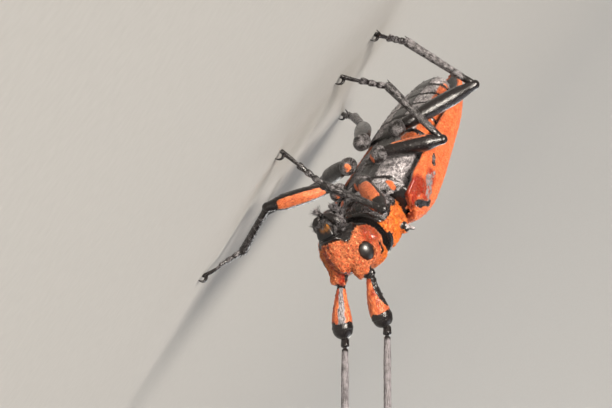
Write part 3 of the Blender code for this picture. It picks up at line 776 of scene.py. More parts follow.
class BEETLE_OT_eyes(bpy.types.Operator):
    """Two polished compound eyes, a little egg-shaped, set in their rims"""

    bl_idname = "beetle.eyes"
    bl_label = "Eyes"

    def execute(self, context):
        rows = ball((0.0, 0.05, -0.02), (EYE_HALF.x, EYE_HALF.y * 1.06, EYE_HALF.z * 1.04), 72, 48)
        rows[..., 1] *= 1.0 - 0.1 * rows[..., 2] / EYE_HALF.z
        for side, word in SIDES.items():
            skin = Skin()
            skin.add(rows + np.array((0.03 * side, 0.0, 0.0)))
            finish_piece(skin.build("eye_" + word + "_lens"), BODY @ eye_local(side), ["eye_" + word],
                         known_material("eye_lens_chitin", eye_glass))
        return {"FINISHED"}


def plate_rows(start, end, steps, form):
    """Level rings of a mouth plate, whose half width and depth the form gives at each share."""
    turn, rows = circle(48), []
    for t in np.linspace(0.0, 1.0, steps):
        half, deep = form(t, turn)
        ring = together(half * np.cos(turn), deep * np.sin(turn), 0.0)
        rows.append(ring + np.array(start.lerp(end, t)))
    return np.array(rows)


def clypeus_form(t, turn):
    ease = math.sqrt(max(0.02, 1.0 - (2.0 * t - 1.0) ** 8))
    return mix(0.98, 0.72, t) * ease, 0.3 * ease


def lip_form(t, turn):
    half = 0.7 * (1.0 - 0.45 * t * t) * math.sqrt(max(0.03, 1.0 - (2.0 * t - 1.0) ** 6))
    deep = 0.26 * math.sqrt(max(0.05, 1.0 - (2.0 * t - 1.0) ** 4))
    return half, deep - 0.05 * bell(np.cos(turn), 0.25) * smooth(t)


def jaw(side):
    path, ts = curved(MANDIBLE, 44, side)
    radii = [0.42 * math.sqrt(max(0.004, 1.0 - t ** 1.6)) * mix(0.75, 1.0, float(smooth(t * 4)))
             for t in ts]
    skin = Skin()
    skin.add(puckered(tube(path, radii, 32, flat=0.9), (0.02, 0.3, 2.0)),
             grey=0.32 * smooth((0.5 - ts) / 0.2)[:, None])
    return skin


def palps(side):
    path, ts = curved(PALP, 60, side)
    beads = np.abs(np.sin(math.pi * (ts * 3.0 + 0.12))) ** 0.4
    radii = 0.23 * mix(0.62, 1.0, beads) * mix(1.0, 0.8, ts)
    radii *= np.sqrt(np.maximum(0.02, 1.0 - smooth((ts - 0.9) / 0.1)))
    skin = Skin()
    skin.add(tube(path, radii, 24), grey=0.1 + 0.35 * smooth(ts[:, None] * 1.6 - 0.6))
    skin.add(limb(mirrored((0.25, -4.35, -2.1), side), mirrored((0.22, -4.75, -3.3), side),
                  lambda t: 0.14 * mix(0.7, 1.0, abs(math.sin(math.pi * 2 * t)) ** 0.4), 24, 20)[0])
    return skin


class BEETLE_OT_mouth(bpy.types.Operator):
    """Clypeus, lip plate, jaws and palps"""

    bl_idname = "beetle.mouth"
    bl_label = "Mouth"

    def execute(self, context):
        amber = known_material("lip_chitin", amber_plate)
        shell = known_material("mouth_cuticle", cuticle, pile=(0.55, 0.1), streak=(24.0, 24.0))
        skin = Skin()
        skin.add(plate_rows(Vector((0.0, -5.85, -1.75)), LABRUM_TOP, 26, clypeus_form))
        finish_piece(skin.build("clypeus"), BODY, [], shell)
        skin = Skin()
        rows = plate_rows(LABRUM_TOP, LABRUM_TIP, 34, lip_form)
        skin.add(rows, grey=near(rows, (-0.35, -5.98, -3.15), (0.44, 0.45, 0.36), 0.5))
        finish_piece(skin.build("lip_plate"), BODY, ["labrum"], amber)
        skin = Skin()
        for centre, half, depth, seed, tint in (
            ((0.0, -4.95, -2.45), (1.12, 0.72, 0.75), 0.07, 2.5, 4.0),
            ((0.0, -4.35, -2.5), (0.8, 0.62, 0.95), 0.06, 6.5, 9.0),
        ):
            rows = puckered(ball(centre, half, 64, 40), (depth, 0.3, seed))
            skin.add(rows, grey=0.35 + 0.4 * rough(rows, 0.3, tint))
        finish_piece(skin.build("mouth_base"), BODY, [], shell)
        for side, word in SIDES.items():
            finish_piece(jaw(side).build("jaw_" + word), BODY, ["mandible_" + word], shell)
            finish_piece(palps(side).build("mouth_palps_" + word), BODY, ["palp_" + word],
                         shell)
        return {"FINISHED"}


def pronotum_shells():
    ts = np.linspace(0.0, 1.0, 64)
    swell = np.sin(math.pi * ts)
    end = 1.0 - 0.04 * smooth((ts - 0.88) / 0.12) + 0.03 * smooth((0.25 - ts) / 0.25)
    end *= np.sqrt(1.0 - 0.14 * (1.0 - np.minimum(1.0, np.minimum(ts, 1.0 - ts) / 0.05)) ** 2)
    skin = Skin()
    skin.add(section_rows(
        mix(PRONOTUM_FRONT_Y, PRONOTUM_REAR_Y, ts), PRONOTUM_HALF_WIDTH * mix(0.87, 1.0, swell) * end,
        PRONOTUM_TOP * mix(0.93, 1.0, swell) * end, PRONOTUM_BOTTOM * mix(0.85, 1.0, swell) * end, -0.1,
        120, 2.3))
    for side in SIDES:
        skin.add(limb(mirrored(SPINE_ROOT, side), mirrored(SPINE_CONE, side), taper(0.75, 0.3), 12, 32)[0])
    return skin


def pronotum_relief(points):
    p, y = folded(points), points[:, 1]
    lift = -0.09 * bell(y + 2.72, 0.1) - 0.1 * bell(y + 0.62, 0.1)
    lift += (0.05 * near(p, (0.0, -1.6, 2.0), (0.25, 0.9, 0.6), 0.8)
             + 0.08 * near(p, (1.1, -1.9, 1.8), (0.5, 0.6, 0.6), 0.9))
    lift += 0.025 * rough(points, 0.5, 5.5) + 0.012 * rough(points, 0.15, 2.2)
    return lift * ((y > PRONOTUM_FRONT_Y + 0.02) & (y < PRONOTUM_REAR_Y))


class BEETLE_OT_pronotum(bpy.types.Operator):
    """Pronotum with its side spines, black collars and two black bands"""

    bl_idname = "beetle.pronotum"
    bl_label = "Pronotum"

    def execute(self, context):
        sizes, colours = context.scene.beetle_sizes, context.scene.beetle_colours
        made = fused(pronotum_shells(), "pronotum_skin", sizes.cell, 4)
        points = points_of(made.data)
        p = folded(points)
        x, y, z = p.T
        points += read(made.data.vertex_normals, "vector") * pronotum_relief(points)[:, None]
        set_points(made.data, points)
        red = smooth((z + 0.62 + 0.12 * np.sin(y * 3.0) + 0.2 * rough(points, 0.5, 21.0)) / 0.2)
        rim = np.hypot(x / 2.2, (z + 0.1) / 1.95)
        collar = -3.12 + 0.16 * smooth(z / 0.7)
        red *= np.maximum(smooth((y - collar) / 0.1), smooth((rim - 0.93) / 0.06) * (1.0 - smooth(z / 0.5)))
        band = np.maximum(near_line(p, (0.95, -2.7, 1.9), (0.85, -0.7, 1.95), 0.36, 0.35),
                          near(p, (1.05, -1.4, 1.8), (0.5, 0.35, 0.7), 0.3))
        foot = near_line(p, SPINE_FOOT, SPINE_TIP, 0.36, 0.2)
        for black in (0.8 * smooth((y + 0.36) / 0.1), band, foot):
            red *= 1.0 - black
        grey = 0.62 * smooth((-0.3 - z) / 0.4) * (0.6 + 0.4 * rough(points, 0.7, 1.0)) * (y > -2.9)
        turn, share = np.arctan2(points[:, 2], points[:, 0]), (points[:, 1] + 3.4) / 3.6
        golden = np.clip(0.8 + 0.45 * rough(points, 0.9, 12.0), 0.0, 1.0) * smooth((2.05 - z) / 0.5)
        set_marks(made.data, red=red, grey=grey, shade=0.25 * bell(y + 2.72, 0.12), gold=golden,
                  grain=points, wrap=wrapped(turn, share), lie=together(0.0 * y, 1.0, -0.3),
                  coat=np.maximum(red, 0.7 * (grey > 0.4)) * (1.0 - foot))
        grow_coat(made, "pronotum_pile", sizes.pile_density, sizes.pile_length, 12, BODY, "velvet_red")
        finish_piece(made, BODY, ["pronotum"], known_material("velvet_cuticle", cuticle))
        horn = known_material("spine_cuticle", cuticle, pile=(0.24, 0.1), streak=(30.0, 3.0), contrast=3.0,
                              grey=(colours.grey_deep, colours.silver))
        for side, word in SIDES.items():
            rows, radii, _ = limb(mirrored(SPINE_FOOT, side), mirrored(SPINE_TIP, side),
                                  taper(0.27, 0.1, 0.75), 30, 32)
            # Painted highlight: silver pile along the underside of each spine, where the light catches its
            # edge.
            under = ring_normals(rows) @ unit(np.array((0.2 * side, 0.4, -1.0)))
            skin = Skin()
            skin.add(rows, grain=limb_grain(rows, radii), grey=0.95 * smooth((under + 0.3) / 0.35))
            finish_piece(skin.build("spine_" + word), BODY, [], horn)
        return {"FINISHED"}


# Black spots of a wing case, uneven as on a real one: share round it from the middle seam, place along it,
# and radius
SPOTS = ((0.3, 3.2, 0.4), (0.12, 4.4, 0.34), (0.31, 5.3, 0.38), (0.15, 6.5, 0.44), (0.3, 7.6, 0.34),
         (0.13, 8.7, 0.4), (0.3, 9.9, 0.42), (0.16, 11.2, 0.34), (0.32, 12.4, 0.3), (0.12, 2.5, 0.26))
FACE_COLUMNS = 76


def elytron_marks(points):
    """A wing case's marks: red pile, grey pile that on the glossy black patch behind the shoulder is a
    painted glint, and how far the red is rubbed off.
    """
    stray = (rough(points, 0.5, 4.0), rough(points, 0.45, 14.0), rough(points, 0.5, 24.0))
    p = folded(points + 0.16 * np.stack(stray, axis=-1))
    wobble = 1.0 + 0.2 * rough(points, 0.2, 4.0)
    black = np.zeros(len(p))
    for share, y, size in SPOTS:
        centre = elytron_face(np.array(y / ELYTRA_LENGTH), np.array(share), 1)
        black = np.maximum(black, near(p, centre, (size, size, size), 0.15) * wobble)
    black = np.maximum(black, 0.95 * near_line(p, (3.26, 0.05, 0.6), (3.17, 1.1, 1.4), 0.3, 0.6))
    # Glossy black patch behind the shoulder; the grey pile it gets is a painted glint.
    glossy_patch_painted_glint = np.maximum(near_line(p, (3.48, 1.3, 0.85), (3.58, 2.3, 0.2), 0.42, 0.5),
                       near_line(p, (3.58, 2.3, 0.2), (3.5, 3.25, 0.4), 0.2, 0.5))
    spot = near_line(p, (3.51, 3.8, -0.05), (3.45, 4.4, -0.3), 0.22, 0.5)
    base = near(p, (1.3, 0.3, 2.1), (0.95, 0.6, 0.6), 0.4) * smooth(rough(points, 0.3, 6.0) * 3.0 + 0.3)
    mottle = 0.3 + 0.7 * (0.5 + 0.9 * rough(points, 0.22, 31.0))
    black = np.maximum.reduce((black, glossy_patch_painted_glint * mottle, 0.8 * spot, base * 0.9))
    shade = np.maximum.reduce((
        near(p, (3.4, 0.85, -0.3), (0.95, 0.85, 0.72), 0.45),
        near(p, (3.1, 0.02, 0.3), (0.6, 0.34, 0.36), 0.4),
        0.7 * near(p, (3.2, -0.05, -0.4), (0.8, 0.3, 0.4), 0.5),
        0.7 * near_line(p, (3.5, 1.0, 0.6), (3.55, 2.8, 0.2), 0.6, 0.6),
        0.35 * smooth((0.12 - p[:, 0]) / 0.1)))
    return 1.0 - np.clip(black, 0.0, 1.0), np.clip(np.maximum(glossy_patch_painted_glint, 0.42 * spot), 0.0, 1.0), shade


def elytron_rows(ts, shares, side):
    """Rings of a wing case: its outer face with seam edge, ribs and shoulder grains, then its inner face."""
    t, share = ts[:, None], shares[None]
    outer = elytron_face(t, share, side)
    rows = np.concatenate((outer, elytron_face(t, share[:, ::-1], side, ELYTRA_THICKNESS * 0.7)), axis=1)
    front = np.clip(1.0 - rows[..., 1] / 1.1, 0.0, 1.0) ** 2
    rows[..., 0] *= 1.0 - 0.07 * front
    rows[..., 2] -= 0.1 * front * (rows[..., 2] - ELYTRA_MARGIN)
    lifted = 0.62 * np.clip(1.0 - rows[..., 1] / 1.7, 0.0, 1.0) ** 1.6
    rows[..., 2] += lifted * np.clip((0.5 - rows[..., 2]) / (0.5 - ELYTRA_MARGIN), 0.0, 1.0)
    across = np.roll(rows, -1, axis=1) - np.roll(rows, 1, axis=1)
    ways = unit(np.cross(np.gradient(rows, axis=0), across)) * side
    if (ways[60, 30] @ unit(rows[60, 30] - np.array((0.0, rows[60, 30, 1], -0.8)))) < 0:
        ways = -ways
    y = rows[:, :FACE_COLUMNS, 1]
    grit = np.clip(rough(outer, 0.2, 9.0) * 2.4 - 0.5, 0.0, 1.0)
    root = np.clip(1.0 - y / 3.2, 0.0, 1.0) * np.clip(1.2 - np.abs(share - 0.5), 0.0, 1.0)
    lift = np.zeros(rows.shape[:2])
    lift[:, :FACE_COLUMNS] += 0.02 * rough(outer, 0.6, 7.0) + 0.012 * rough(outer, 0.17, 1.5)
    lift[:, :FACE_COLUMNS] += 0.085 * grit * root
    lift[:, :FACE_COLUMNS] += 0.05 * bell(share - 0.015, 0.02) * smooth(y / 2.0)
    for rib in (0.32, 0.58):
        ridge = 0.035 * bell(share - rib, 0.035) * smooth(y / 2.0) * (1.0 - smooth((y - 10.5) / 3.0))
        lift[:, :FACE_COLUMNS] += ridge
    lift[:, :FACE_COLUMNS] += 0.05 * bell(share - 0.985, 0.02)
    rows = rows + ways * lift[..., None]
    middle = rows.mean(axis=1, keepdims=True)
    close = mix(0.3, 1.0, np.sqrt(np.clip((1.0 - ts) / 0.022, 0.0, 1.0)))
    return middle + (rows - middle) * close[:, None, None]


class BEETLE_OT_wing_cases(bpy.types.Operator):
    """Two wing cases with black spots, shoulder grains and seam edges, and the small shield between them"""

    bl_idname = "beetle.wing_cases"
    bl_label = "Wing cases"

    def execute(self, context):
        sizes = context.scene.beetle_sizes
        look = {"streak": (20.0, 8.0)}
        velvet = known_material("wing_velvet", cuticle, pile=(0.5, 0.14), contrast=1.5, relief=0.4, **look)
        pile = known_material("wing_pile", cuticle, pile=(0.55, 0.08), tips=True, contrast=1.7,
                              relief=0.3, **look)
        ts = np.concatenate((np.linspace(0.0, 0.08, 16)[:-1], np.linspace(0.08, 0.9, 150)[:-1],
                             np.linspace(0.9, 1.0, 28)))
        shares = np.linspace(0.0, 1.0, FACE_COLUMNS)
        turn = np.concatenate((shares, shares[::-1]))[None] + np.zeros((len(ts), 1))
        turn = (turn - 0.5) * 2.0 * math.pi * 0.94
        wrap = wrapped(turn, ts[:, None])
        outside = np.zeros(turn.shape)
        outside[:, :FACE_COLUMNS] = 1.0
        hem = np.maximum(outside, ((ts < 0.02) | (ts > 0.985))[:, None])
        for side, word in SIDES.items():
            rows = elytron_rows(ts, shares, side)
            red, grey, shade = (mark.reshape(turn.shape) for mark in elytron_marks(rows.reshape(-1, 3)))
            skin = Skin()
            skin.add(rows, red=red * hem, grey=grey, shade=shade, lie=np.array((0.0, 1.0, -0.12)),
                     coat=red * outside)
            made = skin.build("elytron_" + word + "_skin")
            ends = (wrap[0].mean(axis=0), wrap[-1].mean(axis=0))
            set_mark(made.data, "wrap", np.vstack((wrap.reshape(-1, 3), *ends)))
            fix_normals(made.data)
            grow_coat(made, "elytron_" + word + "_pile", sizes.pile_density * 0.6,
                      sizes.pile_length * 0.85, 20 + side, BODY, "velvet_red", pile)
            finish_piece(made, BODY, ["elytron_" + word], velvet)
        ts = np.linspace(0.0, 1.0, 26)
        widths = SCUTELLUM_HALF_WIDTH * np.sqrt(np.maximum(0.02, 1.0 - ts ** 1.8))
        top = float(elytra_top(np.array(0.0))) + 0.05
        rows = section_rows(mix(-0.3, SCUTELLUM_LENGTH, ts), widths, top - 0.1 * ts, top - 0.45 + 0 * ts,
                            top - 0.3, 48, 2.4)
        skin = Skin()
        skin.add(rows, red=(rows[..., 2] > top - 0.3) * 0.9, lie=np.array((0.0, 1.0, 0.0)))
        finish_piece(skin.build("scutellum_shield"), BODY, ["scutellum"], velvet)
        return {"FINISHED"}


def chest_form():
    """Rings and marks of the hind chest: its seams and middle groove are sunk lines."""
    ts = np.linspace(0.0, 1.0, 90)
    ys = mix(0.05, STERNUM_REAR_Y, ts)
    inner = elytra_half_width(ys / ELYTRA_LENGTH) - ELYTRA_THICKNESS * 0.8
    halves = np.minimum(BELLY_HALF_WIDTH * mix(0.78, 1.0, smooth(ts * 2.4)), inner)
    halves *= np.sqrt(np.clip(np.minimum(ts / 0.03, (1.0 - ts) / 0.03), 0.3, 1.0))
    tops = mix(BELLY_TOP - 0.45, BELLY_TOP, smooth(ts * 3.0))
    rows = section_rows(ys, halves, tops, STERNUM_BOTTOM + 0.0 * ts, -0.9, 120, 2.6)
    p = folded(rows)
    x, y, z = np.moveaxis(p, -1, 0)
    low = smooth((-0.3 - z) / 0.5)
    lift = -0.13 * bell(y - 1.25 - 0.25 * z, 0.07) * low
    lift -= 0.12 * bell(y - 2.95, 0.07) * smooth((-1.0 - z) / 0.4)
    lift -= 0.12 * bell(z + 1.05 + 0.1 * y, 0.05) * (x > 1.2)
    lift -= 0.07 * bell(x, 0.06) * smooth((-1.2 - z) / 0.3)
    lift += 0.03 * rough(rows, 0.5, 3.0) + 0.014 * rough(rows, 0.14, 6.0)
    rows = rows + ring_normals(rows) * lift[..., None]
    red = np.maximum(near_line(p, *CHEST_PATCH, 0.19, 0.4),
                     near(p, (2.2, 5.35, -1.9), (0.9, 0.62, 0.55), 0.3))
    strip = bell(z + 0.95 + 0.12 * y, 0.42) * (x > 1.6)
    grey = (0.56 + 0.5 * rough(rows, 0.8, 2.0) + 0.6 * strip) * smooth((x - 0.5) / 0.6)
    grey *= 1.0 - 0.9 * bell(y - 1.25 - 0.25 * z, 0.16)
    return rows, {"red": red, "grey": grey, "coat": np.maximum(red, grey) * low, "shade": 0.15 * low,
                  "lie": np.array((0.0, 1.0, -0.4))}


def abdomen_form():
    """Rings and marks of the abdomen: five plates, each a little proud of the next, with red sides."""
    ts = np.linspace(0.0, 1.0, 130)
    ys = mix(STERNUM_REAR_Y - 0.25, STERNUM_REAR_Y + GAP + ABDOMEN_LENGTH, ts)
    inner = elytra_half_width(ys / ELYTRA_LENGTH) - ELYTRA_THICKNESS * 0.8
    halves = np.minimum(BELLY_HALF_WIDTH * mix(1.0, 0.35, ts ** 3), inner)
    tops = np.minimum(BELLY_TOP, elytra_top(ys / ELYTRA_LENGTH) - ELYTRA_THICKNESS * 0.8)
    bottoms = mix(ABDOMEN_BOTTOM, -1.6, ts ** 2.5)
    which = np.searchsorted(PLATE_CUTS, ts, side="right") - 1
    within = (ts - PLATE_CUTS[which]) / (PLATE_CUTS[which + 1] - PLATE_CUTS[which])
    ring = 0.95 + 0.05 * smooth(within / 0.3) - 0.045 * smooth((0.1 - within) / 0.1)
    end = np.sqrt(np.clip((1.0 - ts) / 0.08, 0.02, 1.0))
    rows = section_rows(ys, halves * mix(1.0, ring, 0.6) * end, tops, mix(-0.9, bottoms * ring, end), -0.9,
                        110, 2.6)
    rows = puckered(rows, (0.02, 0.5, 4.0), (0.01, 0.14, 5.0))
    p = folded(rows)
    hem = smooth((within - 0.12) / 0.12) * (1.0 - smooth((within - 0.92) / 0.08))
    red = near(p / np.array((1.0, 1e6, 1.0)), (2.35, 0.0, -1.3), (0.75, 1.0, 0.62), 0.4) * hem[:, None]
    grey = (0.62 + 0.3 * rough(rows, 0.7, 8.0)) * mix(0.25, 1.0, hem)[:, None]
    grey *= smooth((p[..., 0] - 0.3) / 0.5)
    return rows, {"red": red, "grey": grey,
                  "coat": np.maximum(red, grey) * smooth((-0.4 - p[..., 2]) / 0.4),
                  "lie": np.array((0.0, 1.0, -0.2))}


class BEETLE_OT_hind_body(bpy.types.Operator):
    """Underside of the chest and the ringed abdomen"""

    bl_idname = "beetle.hind_body"
    bl_label = "Chest and abdomen"

    def execute(self, context):
        sizes, colours = context.scene.beetle_sizes, context.scene.beetle_colours
        silk = known_material("belly_cuticle", cuticle, pile=(0.34, 0.1), streak=(14.0, 5.0), contrast=1.8,
                              grey=(colours.shell_warm, colours.silver))
        skin = Skin()
        rows = puckered(ball((0.0, 0.4, -0.3), (3.05, 0.8, 1.75), 96, 60), (0.04, 0.4, 2.5))
        p = folded(rows)
        red = np.maximum(near(p, (2.6, -0.2, 0.75), (0.5, 0.5, 0.4), 0.3),
                         near_line(p, *CHEST_PATCH, 0.19, 0.4))
        grey = (0.5 + 0.35 * rough(rows, 0.5, 1.2)) * smooth((-0.7 - p[..., 2]) / 0.3)
        skin.add(rows, red=red, grey=grey, shade=0.2)
        finish_piece(skin.build("waist_skin"), BODY, [], silk)
        for name, node, form, density, seed in (
            ("chest", "pterothorax", chest_form, 0.6, 31),
            ("abdomen", "abdomen", abdomen_form, 0.5, 32),
        ):
            rows, marks = form()
            skin = Skin()
            skin.add(rows, **marks)
            made = skin.build(name + "_skin")
            fix_normals(made.data)
            grow_coat(made, name + "_pile", sizes.pile_density * density, sizes.pile_length * 0.9,
                      seed, BODY, "shell_black")
            finish_piece(made, BODY, [node], silk)
        return {"FINISHED"}


def leg_joints(pair_side):
    """A leg's side, coxa centre, thigh root, knee, ankle and tip over the floor."""
    hip, knee, ankle, tip = (Vector(p) for p in LEGS[pair_side])
    side = math.copysign(1.0, hip.x)
    coxa = mirrored(COXA_CENTRE[pair_side.split("_")[0]], side)
    return side, BODY @ coxa, BODY @ hip, PLACE @ knee, PLACE @ ankle, PLACE @ tip


def thigh_radius(t):
    body = HIP_RADIUS + (FEMUR_RADIUS - HIP_RADIUS) * math.sin(math.pi * min(0.5, t * 0.95)) ** 0.8
    return mix(body, KNEE_RADIUS, float(smooth((t - 0.7) / 0.3)))


def shin_radius(t):
    knob = 1.0 + 0.12 * math.exp(-((t - 0.06) / 0.04) ** 2)
    return mix(TIBIA_KNEE_RADIUS, TIBIA_ANKLE_RADIUS, t ** 1.3) * knob


def add_coxa(skin, pair, side, coxa, out, seed):
    rows = ball((0, 0, 0), COXA_HALF, 48, 32)
    warm = 0.9 * near(rows, mirrored(COXA_PATCH, side), (0.3, 0.36, 0.3), 0.5)
    warm = warm * (0.8 + 0.8 * rough(rows, 0.25, 4.0)) * (pair != "hind")
    rows = rows @ np.array(BODY.to_3x3()).T + np.array(coxa)
    skin.add(rows, span=(0.0, 0.1), grey=0.4 + 0.3 * rough(rows, 0.4, seed), red=warm, coat=0.3, lie=out)


def add_thigh(skin, pair, side, hip, knee, out, seed):
    """A thigh with its red patch, and the small joint at its root."""
    rows, radii, shares = limb(hip, knee, thigh_radius, 64, 56, dome=8, flat=0.93)
    ways, span = ring_normals(rows), shares[:, None]
    streak = unit(np.array((0.35 * side, -0.45, -0.8) if pair == "fore" else (0.82 * side, 0.15, -0.46)))
    wide = {"fore": 0.3, "mid": 0.84, "hind": 0.88}[pair]
    red = smooth((ways @ streak - wide) / 0.25) * smooth((span - 0.12) / 0.1)
    red = red * (1.0 - smooth((span - 0.72) / 0.12))
    if pair == "fore":
        front = ways @ unit(np.array((-0.4 * side, -0.8, 0.1)))
        front = smooth((front - (0.1 if side < 0 else 0.62)) / 0.25)
        red = np.maximum(red, front * smooth((span - 0.05) / 0.1) * (1.0 - smooth((span - 0.8) / 0.1)))
    grey = 0.22 * (1.0 - red) * (0.6 + 0.6 * rough(rows, 0.35, 1.0 + seed))
    grey = grey * (1.0 - smooth((span - 0.85) / 0.1))
    rows = rows + ways * (0.014 * rough(rows, 0.16, 2.0 + seed))[..., None]
    skin.add(rows, span=(0.1, 0.45), grain=limb_grain(rows, radii), red=red, grey=grey, lie=out,
             coat=np.clip(0.8 * red + grey, 0, 1))
    skin.add(ball(Vector(hip) + Vector(tuple(out)) * 0.1, (0.36, 0.36, 0.36), 32, 20), span=(0.1, 0.12),
             grey=0.2)


def add_shin(skin, pair, knee, ankle, seed):
    """A shin with its two spurs."""
    way = unit(np.array(ankle - knee))
    rows, radii, shares = limb(Vector(knee) + Vector(tuple(way)) * 0.12, ankle, shin_radius, 64, 44,
                               flat=0.9)
    rows = puckered(rows, (0.016, 0.14, 5.0 + seed))
    grey = smooth((shares[:, None] - 0.06) / 0.14) * (0.52 + 0.24 * rough(rows, 0.3, 7.0 + seed))
    skin.add(rows, span=(0.45, 0.78), grain=limb_grain(rows, radii), grey=grey * SHIN_SILVER[pair],
             lie=way, coat=grey)
    across = unit(np.cross(way, (0.3, 0.2, 1.0)))
    for turn in (-1, 1):
        spur = np.array(ankle) + across * turn * 0.24
        skin.add(limb(spur - way * 0.1, spur + way * 0.42 + across * turn * 0.06,
                      taper(0.075, 0.02), 10, 14, dome=3)[0], span=(0.77, 0.78))


def add_foot(skin, ankle, tip, seed):
    """Three flat pads, the third in two lobes, then a long slim claw joint."""
    foot, total = unit(np.array(tip - ankle)), (tip - ankle).length
    across = unit(np.cross(foot, (0.0, 0.0, 1.0))) if abs(foot[2]) < 0.95 else np.array((1.0, 0.0, 0.0))
    for k, (first, last, wide, lobes) in enumerate((
        (0.0, 0.24, 0.26, (0.0,)), (0.24, 0.42, 0.26, (0.0,)), (0.42, 0.6, 0.17, (-0.14, 0.14)),
    )):
        start, end = np.array(ankle) + foot * total * first, np.array(ankle) + foot * total * last
        for lobe in lobes:
            rows, radii, shares = limb(start, end + across * lobe - foot * wide * 0.5,
                                       lambda t: mix(0.17, wide, float(smooth(t ** 0.9))), 22, 32,
                                       flat=0.78, up=(0.0, 0.0, 1.0))
            grey = smooth((shares[:, None] - 0.1) / 0.3) * (0.36 + 0.4 * rough(rows, 0.3, seed + k))
            skin.add(rows, span=(0.78 + 0.05 * k, 0.83 + 0.05 * k), grain=limb_grain(rows, radii),
                     grey=grey, lie=foot, coat=0.5 * grey)
    rows, radii, shares = limb(np.array(ankle) + foot * total * 0.52, tip,
                               lambda t: mix(0.12, TARSUS_THIN_RADIUS, float(smooth(t))), 30, 28,
                               bend=(0.0, 0.0, 0.08), flat=0.85)
    skin.add(rows, span=(0.93, 1.0), grain=limb_grain(rows, radii), grey=0.5 * (1.0 - shares[:, None]),
             lie=foot, coat=0.4)


def claws(ankle, tip):
    skin = Skin()
    foot = unit(np.array(tip - ankle))
    flat_way = Vector((foot[0], foot[1], 0.0))
    if flat_way.length < 0.3:
        flat_way = Vector((0.0, -1.0, 0.0))
    flat_way.normalize()
    across = flat_way.cross(Vector((0, 0, 1)))
    for turn in (-1, 1):
        start = tip - Vector(tuple(foot)) * 0.05 + Vector((0.0, 0.0, 0.12))
        hook = Vector((tip.x, tip.y, 0.03)) + flat_way * 0.5 + across * (turn * CLAW_SPREAD)
        bend = Vector((0, 0, 0.2)) + flat_way * 0.08 + across * turn * 0.05
        rows = limb(start, hook, taper(CLAW_RADIUS, 0.035, 1.2), 26, 24, bend=bend)[0]
        rows[..., 2] = np.maximum(rows[..., 2], 0.0)
        skin.add(rows)
    return skin


class BEETLE_OT_legs(bpy.types.Operator):
    """Six legs, each with hip, thigh, shin and padded foot, and their claws"""

    bl_idname = "beetle.legs"
    bl_label = "Legs"

    def execute(self, context):
        sizes, colours = context.scene.beetle_sizes, context.scene.beetle_colours
        shell = known_material("leg_cuticle", cuticle, pile=(0.36, 0.1), streak=(22.0, 5.0), contrast=2.4,
                               grey=(colours.shell_warm, colours.shin_grey))
        pile = known_material("leg_pile", cuticle, pile=(0.4, 0.15), tips=True, streak=(22.0, 5.0),
                              contrast=3.0, grey=(colours.grey_deep, colours.shin_grey))
        claw = known_material("claw_cuticle", cuticle, pile=(0.4, 0.0), streak=(24.0, 24.0))
        for seed, leg in enumerate(LEGS):
            side, coxa, hip, knee, ankle, tip = leg_joints(leg)
            pair, out = leg.split("_")[0], unit(np.array(knee - hip))
            skin = Skin()
            add_coxa(skin, pair, side, coxa, out, seed)
            add_thigh(skin, pair, side, hip, knee, out, seed)
            add_shin(skin, pair, knee, ankle, seed)
            add_foot(skin, ankle, tip, seed)
            made = skin.build(leg + "_leg")
            points = points_of(made.data)
            points[:, 2] = np.maximum(points[:, 2], 0.0)
            set_points(made.data, points)
            fix_normals(made.data)
            grow_coat(made, leg + "_leg_pile", sizes.pile_density * 0.6, sizes.pile_length * 0.75,
                      40 + seed, STANDING, "shell_black", pile, width=0.07, rise=0.16)
            nodes = [leg + "_" + part for part in ("coxa", "femur", "tibia", "tarsus")]
            finish_piece(made, STANDING, nodes, shell)
            finish_piece(claws(ankle, tip).build(leg + "_claws"), STANDING, [], claw)
        return {"FINISHED"}


def scape_radius(t):
    neck = 0.03 * math.exp(-(t / 0.04) ** 2) - 0.03 * math.exp(-((t - 0.09) / 0.05) ** 2)
    return mix(SCAPE_BASE_RADIUS - 0.05, SCAPE_TIP_RADIUS, float(smooth(t / 0.92))) + neck


def scape(side, end):
    """The thick first joint: red, with a gritty black root and outer side, a smooth black cap, and on the
    left one a silver streak along its inner face that is a painted highlight.
    """
    way = SCAPE_WAY[side].normalized()
    rows, radii, shares = limb(mirrored(SCAPE_ROOT, side) - way * 0.45, end, scape_radius, 90, 72,
                               bend=mirrored(SCAPE_BEND, side), dome=10)
    ways, span = ring_normals(rows), shares[:, None] + 0.0 * rows[..., 0]
    dome = np.arange(len(rows)) > len(rows) - 11
    cap = smooth((span + 0.05 * rough(rows, 0.4, 2.0) - 0.83) / 0.07)
    outer, inner = (ways @ unit(np.array(v)) for v in ((side * 0.9, 0.25, 0.0), (-0.63, -0.6, -0.46)))
    gritty = np.maximum(smooth((0.2 - span) / 0.1), smooth((outer - 0.05 - 1.1 * span ** 1.2) / 0.2))
    grit = np.clip(rough(rows, 0.17, 3.0) * 2.2 - 0.2, 0.0, 1.0)
    # Painted highlight: a silver streak along the inner face of the left scape only, where the light catches
    # it.
    streak = (inner + 0.08 * rough(rows, 0.3, 19.0) - 0.8) * (side > 0)
    silver = smooth(streak / 0.08) * smooth((span - 0.08) / 0.1) * (0.8 + 0.6 * rough(rows, 0.2, 7.0))
    red = (1.0 - cap) * (1.0 - gritty * 0.92) * (1.0 - 0.85 * smooth((streak - 0.07) / 0.08))
    lift = 0.05 * grit * gritty + 0.016 * rough(rows, 0.2, 5.0) + 0.012 * rough(rows, 0.5, 1.0)
    lift += 0.035 * bell(span - 0.97, 0.03) * (~dome[:, None])
    rows = rows + ways * lift[..., None]
    skin = Skin()
    skin.add(rows, grain=limb_grain(rows, radii), red=red,
             grey=np.maximum(0.45 * gritty * grit, silver * (1.0 - cap)),
             shade=0.35 + 0.5 * rough(rows, 0.4, 8.0), lie=np.array(way), coat=0.6 * red)
    return skin


